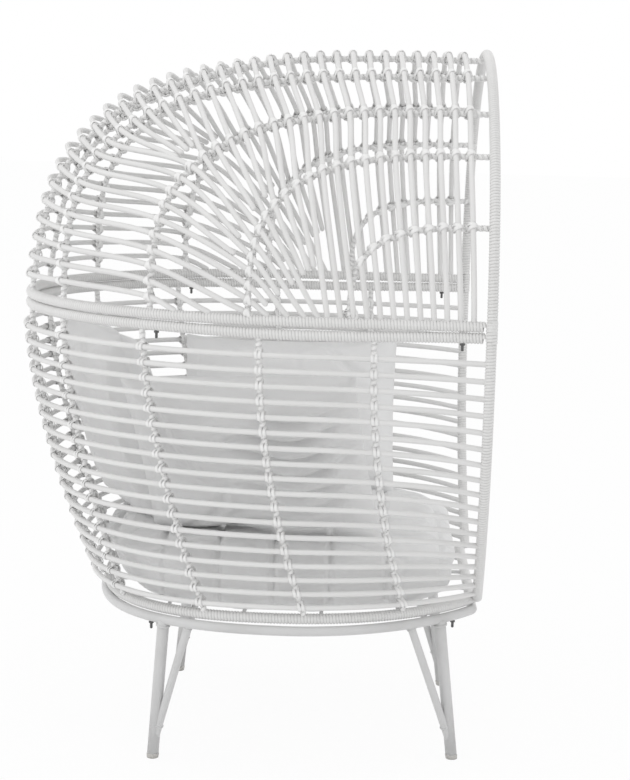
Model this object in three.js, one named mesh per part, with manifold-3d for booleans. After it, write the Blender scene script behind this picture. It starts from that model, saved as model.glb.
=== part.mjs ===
// Rattan garden armchair: a tall cocoon seat in three units that bolt together.
// A round steel stand on four braced legs carries a cane basket, and a cane hood stands on the basket.
// Millimetres. +X points out of the open front, +Z is up, and the origin is on the floor under the middle.
import * as THREE from "three";
import { mergeVertices } from "three/addons/utils/BufferGeometryUtils.js";
import Module from "manifold-3d";

const wasm = await Module();
wasm.setup();

// Overall sizes
const chairHeight = 1490;
const frontX = 485; // the arch and the front posts
const seamHeight = 937.5; // the hood stands on the basket here
const seamBendX = 115; // the sides are straight in front of this line and round behind it
const shell = { backX: -501, halfWidth: 524 }; // the canes, which pass outside the rims
const rimSetIn = { back: 13, side: 8 }; // from the canes to the middle of the wrapped rims at the seam
const gap = 0.3; // between pieces that touch

// Tubes and canes
const rimThickness = 22; // the three wrapped rims
const postThickness = 20; // the front posts of the basket and the arch of the hood
const ribThickness = 12;
const caneThickness = 12;
const strandThickness = 7; // lashing strands that run along the canes
const rowAllowance = 3.1; // and a little more where the rows bend tightly
const crossingAllowance = 3.3; // lets a straight-sided cane pass over a rib

// The stand
const standHeight = 318; // to the middle of its ring
const standThickness = 20;
const standHalfWidth = 467;
const standCentreX = 90;
const standBackX = -310;
const standFrontX = 485;
const standCorner = 25;
const standSag = 3; // the ring hangs this much below the rim between its bolts
const legThickness = 25;
const braceThickness = 18;
const capHeight = 10;
const footHalfWidth = { back: 336, front: 279 };
const footX = { back: -179, front: 451 };
const legTopX = { back: -154, front: 412 };
const braceTopX = { back: -101, front: 350 };
const braceFootHeight = 34; // where the brace runs into its leg

// The basket
const trayHalfWidth = 460; // its lower rim
const trayBackX = -303;
const trayFrontX = 481;
const trayCorner = 25;
const wallFoot = { frontX: 495, outset: 12, backOutset: 22 }; // the wall comes down outside the lower rim
const backBow = 1.7; // how late the wall draws in as it goes down: 1 is a straight cone
const frontBow = 2.6;
// Along each side, from the front post to the back
const ribTopShares = [0.18, 0.36, 0.56, 0.745, 0.897];
const ribFootShares = [0.18, 0.36, 0.53, 0.72, 0.89];
const rowCount = 18;
const firstRowDrop = 46;
const lastRowLift = 29;
const postSlant = 10.6;
const rimSag = 4; // the upper rim hangs this much below the hood between their bolts
const latticeThickness = 10;
const latticeBars = { across: 4, along: 5 };

// The hood
// The spine in side view, from the rim at the back over to the arch, as shares of its depth and its height
const spineXShares = [
  -1, -0.984, -0.968, -0.942, -0.904, -0.824, -0.717, -0.609, -0.467, -0.321, -0.116, 0.095, 0.326, 0.627,
  1.01,
];
const spineZShares = [
  0, 0.059, 0.127, 0.28, 0.442, 0.593, 0.706, 0.793, 0.863, 0.907, 0.948, 0.978, 0.993, 1, 1,
];
// Four ribs on each side, from the front one to the back one
const hoodRibFootShares = [0.718, 0.516, 0.3154, 0.1207]; // along the seam, from its back to its front
const hoodRibRiseShares = [0.368, 0.632, 0.792, 0.932]; // of the height of the arch, where each rib meets it
const hoodRibRound = 3.25; // 2 is an ellipse, more is squarer
// A fifth pair runs up the back and over the crown, where it draws together
const backRib = { backY: 129, crownY: 45, drop: 0.6 };
const backRibShares = { bend: 0.42, crown: 0.72 }; // along the spine
// The hoops stand evenly apart on the spine and on each rib, and some of them stop on the way down
const hoopCount = 33;
const hoopsOnSpine = { frontX: 434, pitch: 33, backPitch: 41.5 };
const hoopsOnRib4 = { frontX: 436, pitch: 32.7, backPitch: 34.1 };
const hoopsOnRib3 = { frontX: 437, pitch: 30.2, backPitch: 30.6 };
const hoopsOnRib2 = { frontX: 438, pitch: 30.3, backPitch: 27 };
const hoopStops = {
  beforeRib3: [19, 20, 21, 22],
  beforeRib2: [15, 17, 24, 26],
  beforeRim: [12, 13, 14, 18, 25, 28],
};
const stopShares = { rib3: 0.75, rib2: 0.8, rim: 0.6 }; // how far a short hoop gets towards the next crossing
const lastHoopOnRib2 = 29; // those behind it come down behind the foot of this rib
const frontFoot = { x: 450, pitch: 26, count: 12 }; // these feet stand side by side along the rim
const rearFootShares = [0.655, 0.628, 0.594, 0.554, 0.523, 0.437, 0.366]; // the others, along the seam

// Fasteners
const boltThickness = 6;
const boltHead = { width: 12, height: 4 };
const nut = { width: 10, height: 4 };
const boltTail = 10; // thread that sticks out of the nut
const seamBoltX = { back: -175, front: 429 };
const standBoltX = { back: -181, front: 441 };

// Cushions
const seatCushion = { height: 112, clearance: 30, corner: 60, crown: 14, crownRound: 2.5 };
const seatWidenShares = { front: 1.05, back: 1.2 }; // how much wider its top is than its underside
// Its section, from the underside out and round to the middle of the top: shares of its reach and its height
const seatReachShares = [0.93, 0.985, 1, 0.983, 1, 0.98, 0.93, 0.8, 0.62, 0.44, 0.26, 0.1];
const seatRiseShares = [0, 0.1, 0.3, 0.52, 0.74, 0.9, 0.97, 1, 1, 1, 1, 1];
const seatTufts = { across: 3, deep: 3, depth: 16, width: 60 };
const sidePillow = { width: 490, height: 390, thickness: 145 };
const backPillow = { width: 450, height: 434, thickness: 140 };
const pillowShares = { drawnIn: 0.09, seam: 0.1, slope: 0.28 }; // of its half width, thickness and fullness
// Each pillow stands on the seat and leans outwards: its middle, its face turned from the right, its own roll
const leftPlace = { x: 70, y: 337, z: 633.6, lean: 27.7, turn: 0, roll: 0 };
const rightPlace = { x: 14, y: -328, z: 655.5, lean: 27.7, turn: 171, roll: -5 };
const backPlace = { x: -292, y: 0, z: 671, lean: 16, turn: 110, roll: 0 };

// How finely the bars are divided
const ringSteps = 14;
const rimSteps = 24;
const postSteps = 12;
const rowSteps = 16;
const hoopSteps = 14;
const archSteps = 24;
const ribSteps = 12;
const pillowCells = 9;
const seatSides = 30;
const backRibSteps = 15;
const basketRibSteps = 9;

// Finishes
const paint = { color: 0xeeeeec, roughness: 0.45, metalness: 0.1 };
const wicker = { color: 0xf2f2f0, roughness: 0.6, metalness: 0 };
const cane = { color: 0xf4f4f2, roughness: 0.55, metalness: 0 };
const fabric = { color: 0xf6f6f6, roughness: 0.9, metalness: 0 };
const boltSteel = { color: 0x3a3a3a, roughness: 0.5, metalness: 0.8 };
const capPlastic = { color: 0xe2e2de, roughness: 0.6, metalness: 0 };

const rad = THREE.MathUtils.degToRad;
const v3 = (x, y, z) => new THREE.Vector3(x, y, z);
const chair = new THREE.Group();

// Meshes and solids

function solidOf(geometry) {
  const bare = geometry.index ? geometry.toNonIndexed() : geometry.clone();
  bare.deleteAttribute("normal");
  bare.deleteAttribute("uv");
  const merged = mergeVertices(bare, 1e-3);
  return new wasm.Manifold(
    new wasm.Mesh({
      numProp: 3,
      vertProperties: merged.attributes.position.array,
      triVerts: new Uint32Array(merged.index.array),
    }),
  );
}

function geometryOf(solid) {
  const mesh = solid.getMesh();
  const geometry = new THREE.BufferGeometry();
  geometry.setAttribute("position", new THREE.BufferAttribute(mesh.vertProperties, 3));
  geometry.setIndex(new THREE.BufferAttribute(mesh.triVerts, 1));
  const flat = geometry.toNonIndexed();
  flat.computeVertexNormals();
  return flat;
}

const joined = (geometries) => geometries.map(solidOf).reduce((sum, next) => sum.add(next));
const cutBy = (solid, cutters) => cutters.reduce((left, cutter) => left.subtract(cutter), solid);

function addPiece(name, geometry, finish) {
  const mesh = new THREE.Mesh(geometry, new THREE.MeshStandardMaterial(finish));
  mesh.name = name;
  chair.add(mesh);
  return mesh;
}

// A round bar of so many flat sides along a curve
function bar(curve, thickness, sides, steps) {
  const section = new THREE.Shape();
  for (let i = 0; i < sides; i++) {
    const turn = (i / sides) * 2 * Math.PI;
    const [x, y] = [(Math.cos(turn) * thickness) / 2, (Math.sin(turn) * thickness) / 2];
    if (i) section.lineTo(x, y);
    else section.moveTo(x, y);
  }
  return new THREE.ExtrudeGeometry(section, { steps, extrudePath: curve, bevelEnabled: false });
}

const smooth = (points) => new THREE.CatmullRomCurve3(points, false, "centripetal");
const straight = (a, b) => new THREE.LineCurve3(a, b);
const mirrored = (p) => v3(p.x, -p.y, p.z);
// One side of the chair runs from the front to the back, and its mirror image comes forward again
const bothSides = (points) => [...points, ...points.slice(0, -1).reverse().map(mirrored)];

// Outlines seen from above, from the front to the middle of the back, on the -Y side

function seamOutline({ backX, halfWidth }, startX, z) {
  const reach = seamBendX - backX;
  const half = halfWidth;
  const points = [0, 1 / 3, 2 / 3].map((t) => v3(THREE.MathUtils.lerp(startX, seamBendX, t), -half, z));
  for (let turn = 0; turn <= 90; turn += 10) {
    const a = rad(turn);
    points.push(v3(seamBendX - reach * Math.sin(a), -half * Math.cos(a), z));
  }
  points.at(-1).y = 0;
  return points;
}

const backSquareness = 2.6;

// A circle in front, cut off by a straight front bar with round corners, and a squarer curve behind
function trayOutline({ frontX, centreX, backX, halfWidth, corner }, z) {
  const squareness = backSquareness;
  const cornerX = frontX - corner;
  const cornerY = Math.sqrt((halfWidth - corner) ** 2 - (cornerX - centreX) ** 2);
  const start = Math.atan2(cornerY, cornerX - centreX);
  const points = [0, 0.5, 1].map((t) => v3(frontX, -cornerY * t, z));
  const frontPoints = points.length;
  for (const t of [0.35, 0.7]) {
    const a = start * t;
    points.push(v3(cornerX + corner * Math.cos(a), -cornerY - corner * Math.sin(a), z));
  }
  const steps = 5;
  for (let i = 0; i <= steps; i++) {
    const a = THREE.MathUtils.lerp(start, Math.PI / 2, i / steps);
    points.push(v3(centreX + halfWidth * Math.cos(a), -halfWidth * Math.sin(a), z));
  }
  for (let turn = 10; turn <= 90; turn += 10) {
    const x = (centreX - backX) * Math.sin(rad(turn)) ** (2 / squareness);
    points.push(v3(centreX - x, -halfWidth * Math.cos(rad(turn)) ** (2 / squareness), z));
  }
  points.at(-1).y = 0;
  return { points, cornerIndex: frontPoints + 1 };
}

// How far a ring hangs between two bolts
function sagAt(x, bolts, depth) {
  const t = (x - (bolts.back + bolts.front) / 2) / ((bolts.front - bolts.back) / 2);
  return Math.abs(t) < 1 ? depth * (1 - t * t) ** 2 : 0;
}

const rim = { backX: shell.backX + rimSetIn.back, halfWidth: shell.halfWidth - rimSetIn.side };

// Heights of the rims, each resting on the next
const hoodRimZ = seamHeight + gap / 2 + rimThickness / 2;
const basketRimZ = seamHeight - gap / 2 - rimThickness / 2;
const trayZ = standHeight + standThickness / 2 + gap + rimThickness / 2;
const standShape = {
  frontX: standFrontX,
  centreX: standCentreX,
  backX: standBackX,
  halfWidth: standHalfWidth,
  corner: standCorner,
};
const trayShape = {
  frontX: trayFrontX,
  centreX: standCentreX,
  backX: trayBackX,
  halfWidth: trayHalfWidth,
  corner: trayCorner,
};

// A closed ring is made of two halves that overlap a little at the front and the back
function closedRing(points, thickness, sides, steps) {
  const overlap = thickness / 10;
  const first = points[0].clone().setY(overlap);
  const last = points.at(-1).clone().setY(overlap);
  const half = [first, ...points, last];
  return joined([
    bar(smooth(half), thickness, sides, steps),
    bar(smooth(half.map(mirrored)), thickness, sides, steps),
  ]);
}

// The basket's wall. along runs from one front post (0) by the back (1) to the other (2),
// and down runs from the upper rim (0) to the lower one (1)

const basketTop = smooth(seamOutline(shell, frontX, basketRimZ));
const tray = trayOutline(trayShape, trayZ);
const wallFootShape = {
  ...trayShape,
  frontX: wallFoot.frontX,
  backX: trayBackX - wallFoot.backOutset,
  halfWidth: trayHalfWidth + wallFoot.outset,
};
const wallFootOutline = trayOutline(wallFootShape, trayZ);
const basketBottom = smooth(wallFootOutline.points.slice(wallFootOutline.cornerIndex));
const wallSamples = 24;

function wallColumn(along) {
  const side = along > 1 ? 2 - along : along;
  const top = basketTop.getPointAt(side);
  const bottom = basketBottom.getPointAt(side);
  const bow = backBow + (frontBow - backBow) * (1 - side) ** 3;
  const points = [];
  for (let i = 0; i <= wallSamples; i++) {
    const t = i / wallSamples;
    const plan = top.clone().lerp(bottom, t ** bow);
    points.push(v3(plan.x, along > 1 ? -plan.y : plan.y, THREE.MathUtils.lerp(top.z, bottom.z, t)));
  }
  return points;
}

function columnAt(points, down) {
  const lengths = [0];
  for (let i = 1; i < points.length; i++) lengths.push(lengths[i - 1] + points[i].distanceTo(points[i - 1]));
  const target = down * lengths.at(-1);
  let i = 1;
  while (i < points.length - 1 && lengths[i] < target) i++;
  const t = (target - lengths[i - 1]) / (lengths[i] - lengths[i - 1]);
  return points[i - 1].clone().lerp(points[i], t);
}

const columnLength = (points) =>
  points.slice(1).reduce((sum, p, i) => sum + p.distanceTo(points[i]), 0);

const basketPoint = (along, down) => columnAt(wallColumn(along), down);

// A point set in from the wall, square to it
function insetBasketPoint(along, down, inset) {
  const step = 0.01;
  const p = basketPoint(along, down);
  const across = basketPoint(along + step, down).sub(basketPoint(Math.max(0, along - step), down));
  const above = basketPoint(along, Math.max(down - step, 0));
  const below = basketPoint(along, Math.min(down + step, 1));
  const inward = below.sub(above).cross(across).normalize();
  return p.addScaledVector(inward, inset);
}

// The hood's surface: its half width at a place is that of the rim, and its height that of the spine

const hoopInset = caneThickness / 2 + ribThickness / 2 + crossingAllowance; // of the ribs, under the hoops
const archOutset = postThickness / 2 + ribThickness / 2 + gap - hoopInset; // the arch rests on the ribs
const archHalfWidth = shell.halfWidth + archOutset;
const archHeight = chairHeight - postThickness / 2 - hoodRimZ;
const spineHeight = archHeight - archOutset;

const spinePoints = spineXShares.map((share, i) =>
  v3(share < 0 ? -share * shell.backX : share * frontX, 0, spineZShares[i] * spineHeight),
);
const spine = smooth(spinePoints);

function insetSpine(inset) {
  const samples = 60;
  const points = [];
  for (let i = 0; i <= samples; i++) {
    const p = spine.getPointAt(i / samples);
    const t = spine.getTangentAt(i / samples);
    points.push(v3(p.x + t.z * inset, 0, p.z - t.x * inset));
  }
  return points;
}

function heightOver(points, x) {
  let i = 1;
  while (i < points.length - 1 && points[i].x < x) i++;
  const [a, b] = [points[i - 1], points[i]];
  return THREE.MathUtils.lerp(a.z, b.z, (x - a.x) / (b.x - a.x));
}

function halfWidthOf({ backX, halfWidth }, x, inset) {
  const behind = Math.max(0, (seamBendX - x) / (seamBendX - backX - inset));
  return (halfWidth - inset) * Math.sqrt(Math.max(0, 1 - behind * behind));
}

const backRibInset = hoopInset + backRib.drop;
const insetSpines = new Map([0, hoopInset, backRibInset].map((inset) => [inset, insetSpine(inset)]));

function hoodPoint(x, rise, inset) {
  const top = heightOver(insetSpines.get(inset), x);
  const share = Math.min(1, rise / top);
  return v3(x, -halfWidthOf(shell, x, inset) * Math.sqrt(1 - share * share), hoodRimZ + rise);
}

// The stand: a ring on four legs, each with a brace, and a cap under each foot

const stand = trayOutline(standShape, standHeight);
const standPoints = stand.points.map((p) => p.setZ(standHeight - sagAt(p.x, standBoltX, standSag)));
const standRing = closedRing(standPoints, standThickness, 8, ringSteps);
const standCutter = closedRing(standPoints, standThickness + 2 * gap, 8, ringSteps);

const standPlace = (x, side) =>
  v3(x, -side * outlineY(standPoints, x), standHeight - sagAt(x, standBoltX, standSag));

function addLeg(end, side, sideName) {
  const name = `${end}_${sideName}`;
  const foot = v3(footX[end], side * footHalfWidth[end], 0);
  const top = standPlace(legTopX[end], side);
  const lean = top.clone().sub(foot).divideScalar(top.z);
  const at = (z) => foot.clone().addScaledVector(lean, z);
  const legAxis = straight(at(capHeight + gap), top);
  const leg = cutBy(solidOf(levelFoot(legAxis, legThickness, 12)), [standCutter]);
  addPiece(`leg_${name}`, geometryOf(leg), paint);

  const capAxis = straight(at(0), at(capHeight));
  addPiece(`foot_cap_${name}`, levelFoot(capAxis, legThickness, 12), capPlastic);

  const braceTop = standPlace(braceTopX[end], side);
  const brace = solidOf(bar(straight(at(braceFootHeight), braceTop), braceThickness, 10, 1));
  const legCutter = solidOf(bar(straight(at(capHeight), top), legThickness + 2 * gap, 12, 1));
  addPiece(`brace_${name}`, geometryOf(cutBy(brace, [legCutter, standCutter])), paint);
}

// A leaning round bar whose lower end is level with the floor and whose upper end is level too
function levelFoot(axis, thickness, sides) {
  const height = axis.v2.z - axis.v1.z;
  const geometry = new THREE.CylinderGeometry(thickness / 2, thickness / 2, height, sides, 1);
  geometry.rotateX(Math.PI / 2);
  geometry.translate(0, 0, height / 2);
  const shear = new THREE.Matrix4();
  const lean = axis.v2.clone().sub(axis.v1).divideScalar(height);
  shear.makeBasis(v3(1, 0, 0), v3(0, 1, 0), lean);
  geometry.applyMatrix4(shear);
  geometry.translate(axis.v1.x, axis.v1.y, axis.v1.z);
  return geometry;
}

// Bolts: a sunk head, a shank through both rings, a nut and the end of the thread

const headZ = (upperZ, upperThickness) => upperZ + upperThickness / 2;

function boltAt(x, y, upper, lower) {
  const top = headZ(upper.z, upper.thickness) - gap;
  const under = lower.z - lower.thickness / 2 - gap;
  const end = under - nut.height - boltTail;
  const profile = [
    [0, end],
    [boltThickness / 2, end],
    [boltThickness / 2, under - nut.height],
    [nut.width / 2, under - nut.height],
    [nut.width / 2, under],
    [boltThickness / 2, under],
    [boltThickness / 2, top - boltHead.height],
    [boltHead.width / 2, top - boltHead.height],
    [boltHead.width / 2, top],
    [0, top],
  ];
  const bolt = new THREE.LatheGeometry(profile.map(([r, z]) => new THREE.Vector2(r, z)), 6);
  bolt.rotateX(Math.PI / 2);
  bolt.translate(x, y, 0);
  return bolt;
}

// The room that a bolt needs: a clear hole, and a deeper one round its head
function boltHole(x, y, upper, lower) {
  const top = headZ(upper.z, upper.thickness) + rimThickness;
  const seat = headZ(upper.z, upper.thickness) - 2 * gap - boltHead.height;
  const bottom = lower.z - lower.thickness;
  const hole = new THREE.LatheGeometry(
    [
      [0, bottom],
      [boltThickness / 2 + gap, bottom],
      [boltThickness / 2 + gap, seat],
      [boltHead.width / 2 + gap, seat],
      [boltHead.width / 2 + gap, top],
      [0, top],
    ].map(([r, z]) => new THREE.Vector2(r, z)),
    6,
  );
  hole.rotateX(Math.PI / 2);
  hole.translate(x, y, 0);
  return solidOf(hole);
}

const hoodRim = { z: hoodRimZ, thickness: rimThickness };
const basketRim = { z: basketRimZ, thickness: rimThickness };
const trayRim = { z: trayZ, thickness: rimThickness };
const standRim = { z: standHeight, thickness: standThickness };

function outlineY(points, x) {
  let i = 1;
  while (i < points.length - 1 && !(points[i].x <= x && points[i - 1].x >= x)) i++;
  const [a, b] = [points[i - 1], points[i]];
  return THREE.MathUtils.lerp(a.y, b.y, (x - a.x) / (b.x - a.x));
}

const seamBolts = [];
const standBolts = [];
for (const side of [1, -1]) {
  for (const x of Object.values(seamBoltX)) {
    seamBolts.push({ x, y: side * halfWidthOf(rim, x, 0), upper: hoodRim, lower: basketRim });
  }
  for (const x of Object.values(standBoltX)) {
    standBolts.push({ x, y: side * outlineY(standPoints, x), upper: trayRim, lower: standRim });
  }
}
const holesFor = (bolts) => bolts.map((b) => boltHole(b.x, b.y, b.upper, b.lower));
const boltName = (b) => `${b.x < 0 ? "back" : "front"}_${b.y < 0 ? "right" : "left"}`;

function addBolt(kind, bolt) {
  addPiece(`${kind}_${boltName(bolt)}`, boltAt(bolt.x, bolt.y, bolt.upper, bolt.lower), boltSteel);
}

// The basket

const rimButt = frontX - postThickness / 2 - gap;
const basketRimPoints = seamOutline(rim, rimButt, basketRimZ).map((p) =>
  p.setZ(basketRimZ - sagAt(p.x, seamBoltX, rimSag)),
);
const basketRimCurve = smooth(bothSides(basketRimPoints));
const upperRim = solidOf(bar(basketRimCurve, rimThickness, 6, rimSteps));
const upperRimCutter = solidOf(bar(basketRimCurve, rimThickness + 2 * gap, 6, rimSteps));
const lowerRim = closedRing(tray.points, rimThickness, 6, ringSteps);
const lowerRimCutter = closedRing(tray.points, rimThickness + 2 * gap, 6, ringSteps);

const sideNames = { [-1]: "right", 1: "left" };

const rimClearance = rimThickness / 3; // a rib reaches this close to the middle of a rim and is cut to fit it

function basketRib(topAlong, footAlong) {
  const first = rimClearance / columnLength(wallColumn(topAlong));
  const points = [];
  for (let i = 0; i <= basketRibSteps; i++) {
    const down = THREE.MathUtils.lerp(first, 1, i / basketRibSteps);
    const along = THREE.MathUtils.lerp(topAlong, footAlong, down);
    points.push(insetBasketPoint(along, down, hoopInset + rowAllowance));
  }
  return bar(smooth(points), ribThickness, 4, basketRibSteps);
}

function addBasketRibs() {
  const add = (name, topAlong, footAlong) => {
    const rib = solidOf(basketRib(topAlong, footAlong));
    addPiece(name, geometryOf(cutBy(rib, [upperRimCutter, lowerRimCutter])), cane);
  };
  ribTopShares.forEach((share, i) => {
    add(`basket_rib_right_${i + 1}`, share, ribFootShares[i]);
    add(`basket_rib_left_${i + 1}`, 2 - share, 2 - ribFootShares[i]);
  });
}

function postBar(side, thickness) {
  const points = [];
  for (let i = 0; i <= postSteps; i++) {
    const down = i / postSteps;
    const p = insetBasketPoint(0, down, -archOutset);
    points.push(side < 0 ? p : mirrored(p));
  }
  // The top reaches up to the seam
  const top = points[0].clone().setZ(seamHeight - gap / 2);
  return bar(smooth([top, ...points.slice(1)]), thickness, 8, postSteps);
}

const postCutters = [-1, 1].map((side) => solidOf(postBar(side, postThickness + 2 * gap)));

function addBasketPosts() {
  for (const side of [-1, 1]) {
    const post = cutBy(solidOf(postBar(side, postThickness)), [lowerRimCutter]);
    addPiece(`front_post_${sideNames[side]}`, geometryOf(post), wicker);
  }
}

// The canes go round in level rows, from one front post to the other
const wallLength = columnLength(wallColumn(1));
const rowDown = (row) =>
  THREE.MathUtils.lerp(firstRowDrop, wallLength - lastRowLift, row / (rowCount - 1)) / wallLength;

// The rows stop at the posts, which they meet at a slant lower down
const rowStart = (row) =>
  (postThickness / 2 + 2 * gap + postSlant * (row / rowCount) ** 2) / basketTop.getLength();

function caneRow(row) {
  const points = [];
  for (let i = 0; i <= rowSteps; i++) {
    const along = THREE.MathUtils.lerp(rowStart(row), 2 - rowStart(row), i / rowSteps);
    points.push(basketPoint(along, rowDown(row)));
  }
  return bar(smooth(points), caneThickness, 4, rowSteps);
}

// A lashing strand runs down each back rib and joins a few rows
function backStrand(firstRow, lastRow, side) {
  const steps = lastRow - firstRow;
  const points = [];
  for (let i = 0; i <= steps; i++) {
    const down = rowDown(firstRow + i);
    const along = THREE.MathUtils.lerp(ribTopShares.at(-1), ribFootShares.at(-1), down);
    points.push(basketPoint(side < 0 ? along : 2 - along, down));
  }
  return bar(smooth(points), strandThickness, 3, Math.ceil(steps / 2));
}

function addCaneRows() {
  const bands = ["upper", "middle", "lower"];
  const perBand = Math.ceil(rowCount / bands.length);
  bands.forEach((band, b) => {
    const first = b * perBand;
    const last = Math.min(rowCount, first + perBand) - 1;
    const pieces = [-1, 1].map((side) => backStrand(first, last, side));
    for (let row = first; row <= last; row++) pieces.push(caneRow(row));
    addPiece(`basket_canes_${band}`, geometryOf(joined(pieces)), cane);
  });
}

// The seat floor: bars both ways across the lower rim, joined where they cross
const latticeZ = trayZ + rimThickness / 2 - latticeThickness;

function addLattice() {
  const inside = trayShape.halfWidth;
  const bars = [];
  for (let i = 1; i <= latticeBars.across; i++) {
    const x = THREE.MathUtils.lerp(trayBackX, trayFrontX, i / (latticeBars.across + 1));
    const halfY = -outlineY(tray.points, x);
    bars.push(bar(straight(v3(x, -halfY, latticeZ), v3(x, halfY, latticeZ)), latticeThickness, 4, 1));
  }
  for (let i = 1; i <= latticeBars.along; i++) {
    const y = THREE.MathUtils.lerp(-inside, inside, i / (latticeBars.along + 1));
    const ends = rowsAcross(y);
    bars.push(bar(straight(v3(ends[0], y, latticeZ), v3(ends[1], y, latticeZ)), latticeThickness, 4, 1));
  }
  addPiece("seat_lattice", geometryOf(cutBy(joined(bars), [lowerRimCutter])), paint);
}

// Where the lower rim's middle line passes a given y, at the back and at the front
function rowsAcross(y) {
  const target = -Math.abs(y);
  const found = [];
  for (let i = 1; i < tray.points.length; i++) {
    const [a, b] = [tray.points[i - 1], tray.points[i]];
    if ((a.y - target) * (b.y - target) <= 0 && a.y !== b.y) {
      found.push(THREE.MathUtils.lerp(a.x, b.x, (target - a.y) / (b.y - a.y)));
    }
  }
  return [Math.min(...found), Math.max(...found)];
}

// The hood

const hoodRimCurve = smooth(bothSides(seamOutline(rim, rimButt, hoodRimZ)));
const hoodRimBar = solidOf(bar(hoodRimCurve, rimThickness, 6, rimSteps));
const hoodRimCutter = solidOf(bar(hoodRimCurve, rimThickness + 2 * gap, 6, rimSteps));

function archBar(thickness) {
  const points = [v3(frontX, -archHalfWidth, seamHeight + gap / 2)];
  for (let i = 0; i <= archSteps; i++) {
    const a = (i / archSteps) * Math.PI;
    points.push(v3(frontX, -archHalfWidth * Math.cos(a), hoodRimZ + archHeight * Math.sin(a)));
  }
  points.push(mirrored(points[0]));
  return bar(smooth(points), thickness, 8, archSteps);
}

const archCutter = solidOf(archBar(postThickness + 2 * gap));

const seamX = (share) => THREE.MathUtils.lerp(shell.backX, frontX, share);
const ribEndX = frontX + ribThickness / 2;

// A side rib in side view, x against its rise over the rim
function hoodRibLine(index, steps) {
  const footX = seamX(hoodRibFootShares[index]);
  const rise = hoodRibRiseShares[index] * (spineHeight - hoopInset);
  const points = [];
  for (let step = 0; step <= steps; step++) {
    const a = (step / steps) * (Math.PI / 2);
    const x = ribEndX - (ribEndX - footX) * Math.cos(a) ** (2 / hoodRibRound);
    points.push(v3(x, 0, rimClearance + (rise - rimClearance) * Math.sin(a) ** (2 / hoodRibRound)));
  }
  return points;
}

// How far a back rib stands from the middle, at a share of the spine
function backRibY(share) {
  const turn = THREE.MathUtils.smoothstep(share, backRibShares.bend, backRibShares.crown);
  return THREE.MathUtils.lerp(backRib.backY, backRib.crownY, turn);
}

// The place on the hood beside a point of the spine, so far out to the side
function besideSpine(share, inset, y) {
  const p = spine.getPointAt(share);
  const along = spine.getTangentAt(share);
  const top = v3(p.x + along.z * inset, 0, p.z - along.x * inset);
  const at = (scale) => {
    const x = top.x < seamBendX ? seamBendX + (top.x - seamBendX) * scale : top.x;
    return hoodPoint(x, top.z * scale, inset);
  };
  const halvings = 24;
  let [near, far] = [0, 1];
  for (let i = 0; i < halvings; i++) {
    const middle = (near + far) / 2;
    if (-at(middle).y > y) near = middle;
    else far = middle;
  }
  return at(near);
}

function backRibPoints() {
  const points = [];
  for (let i = 0; i <= backRibSteps; i++) {
    const p = besideSpine(i / backRibSteps, backRibInset, backRibY(i / backRibSteps));
    if (p.z > hoodRimZ + rimClearance) points.push(p);
  }
  const foot = besideSpine(0, backRibInset, backRib.backY);
  points.unshift(foot.lerp(points[0], rimClearance / (points[0].z - foot.z)));
  return points;
}

function addHoodFrame() {
  addPiece("hood_rim", geometryOf(cutBy(hoodRimBar, [archCutter, ...holesFor(seamBolts)])), wicker);
  addPiece("hood_arch", archBar(postThickness), wicker);
  const addRibs = (number, points, steps) => {
    for (const side of [-1, 1]) {
      const path = smooth(side < 0 ? points : points.map(mirrored));
      const rib = cutBy(solidOf(bar(path, ribThickness, 4, steps)), [hoodRimCutter, archCutter]);
      addPiece(`hood_rib_${sideNames[side]}_${number}`, geometryOf(rib), cane);
    }
  };
  hoodRibFootShares.forEach((share, i) => {
    addRibs(i + 1, hoodRibLine(i, ribSteps).map((p) => hoodPoint(p.x, p.z, hoopInset)), ribSteps);
  });
  addRibs(hoodRibFootShares.length + 1, backRibPoints(), backRibSteps);
}

// Hoops: each goes from the spine over the ribs down to the rim, the same on both sides

function crossingLine(curve, { frontX, pitch, backPitch }) {
  curve.arcLengthDivisions = 600;
  const length = curve.getLength();
  const step = 0.0005;
  let front = 1;
  while (curve.getPointAt(front).x > frontX) front -= step;
  return { curve, length, front, pitch, backPitch };
}

// The place of a hoop on such a line, counted from the front
function placeOn({ curve, length, front, pitch, backPitch }, rank, count) {
  const growth = (backPitch - pitch) / (count - 2);
  const along = rank * pitch + (growth * rank * (rank - 1)) / 2;
  return curve.getPointAt(Math.max(0, front - along / length));
}

const fineRibLine = (index) => smooth(hoodRibLine(index, 4 * ribSteps));
const spineLine = crossingLine(spine, hoopsOnSpine);
const rib4Line = crossingLine(fineRibLine(3), hoopsOnRib4);
const rib3Line = crossingLine(fineRibLine(2), hoopsOnRib3);
const rib2Line = crossingLine(fineRibLine(1), hoopsOnRib2);

const allHoops = [...Array(hoopCount).keys()];
const hoopsAtRib3 = allHoops.filter((k) => !hoopStops.beforeRib3.includes(k));
const hoopsAtRib2 = hoopsAtRib3.filter((k) => !hoopStops.beforeRib2.includes(k));
const hoopsAtRim = hoopsAtRib2.filter((k) => !hoopStops.beforeRim.includes(k));
const countedAtRib2 = hoopsAtRib2.filter((k) => k <= lastHoopOnRib2);

// Where a hoop stands among those of a list; one that isn't in it stands between two of them
function rankIn(list, k) {
  const next = list.findIndex((n) => n >= k);
  return list[next] === k ? next : next - 1 + (k - list[next - 1]) / (list[next] - list[next - 1]);
}

const footRise = rimThickness / 2 + gap + caneThickness / 2;

function hoopFoot(k) {
  const rank = rankIn(hoopsAtRim, k);
  const xs = hoopsAtRim.map((_, i) =>
    i < frontFoot.count ? frontFoot.x - i * frontFoot.pitch : seamX(rearFootShares[i - frontFoot.count]),
  );
  const before = Math.floor(rank);
  const x = THREE.MathUtils.lerp(xs[before], xs[Math.min(before + 1, xs.length - 1)], rank - before);
  return v3(x, 0, footRise);
}

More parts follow.
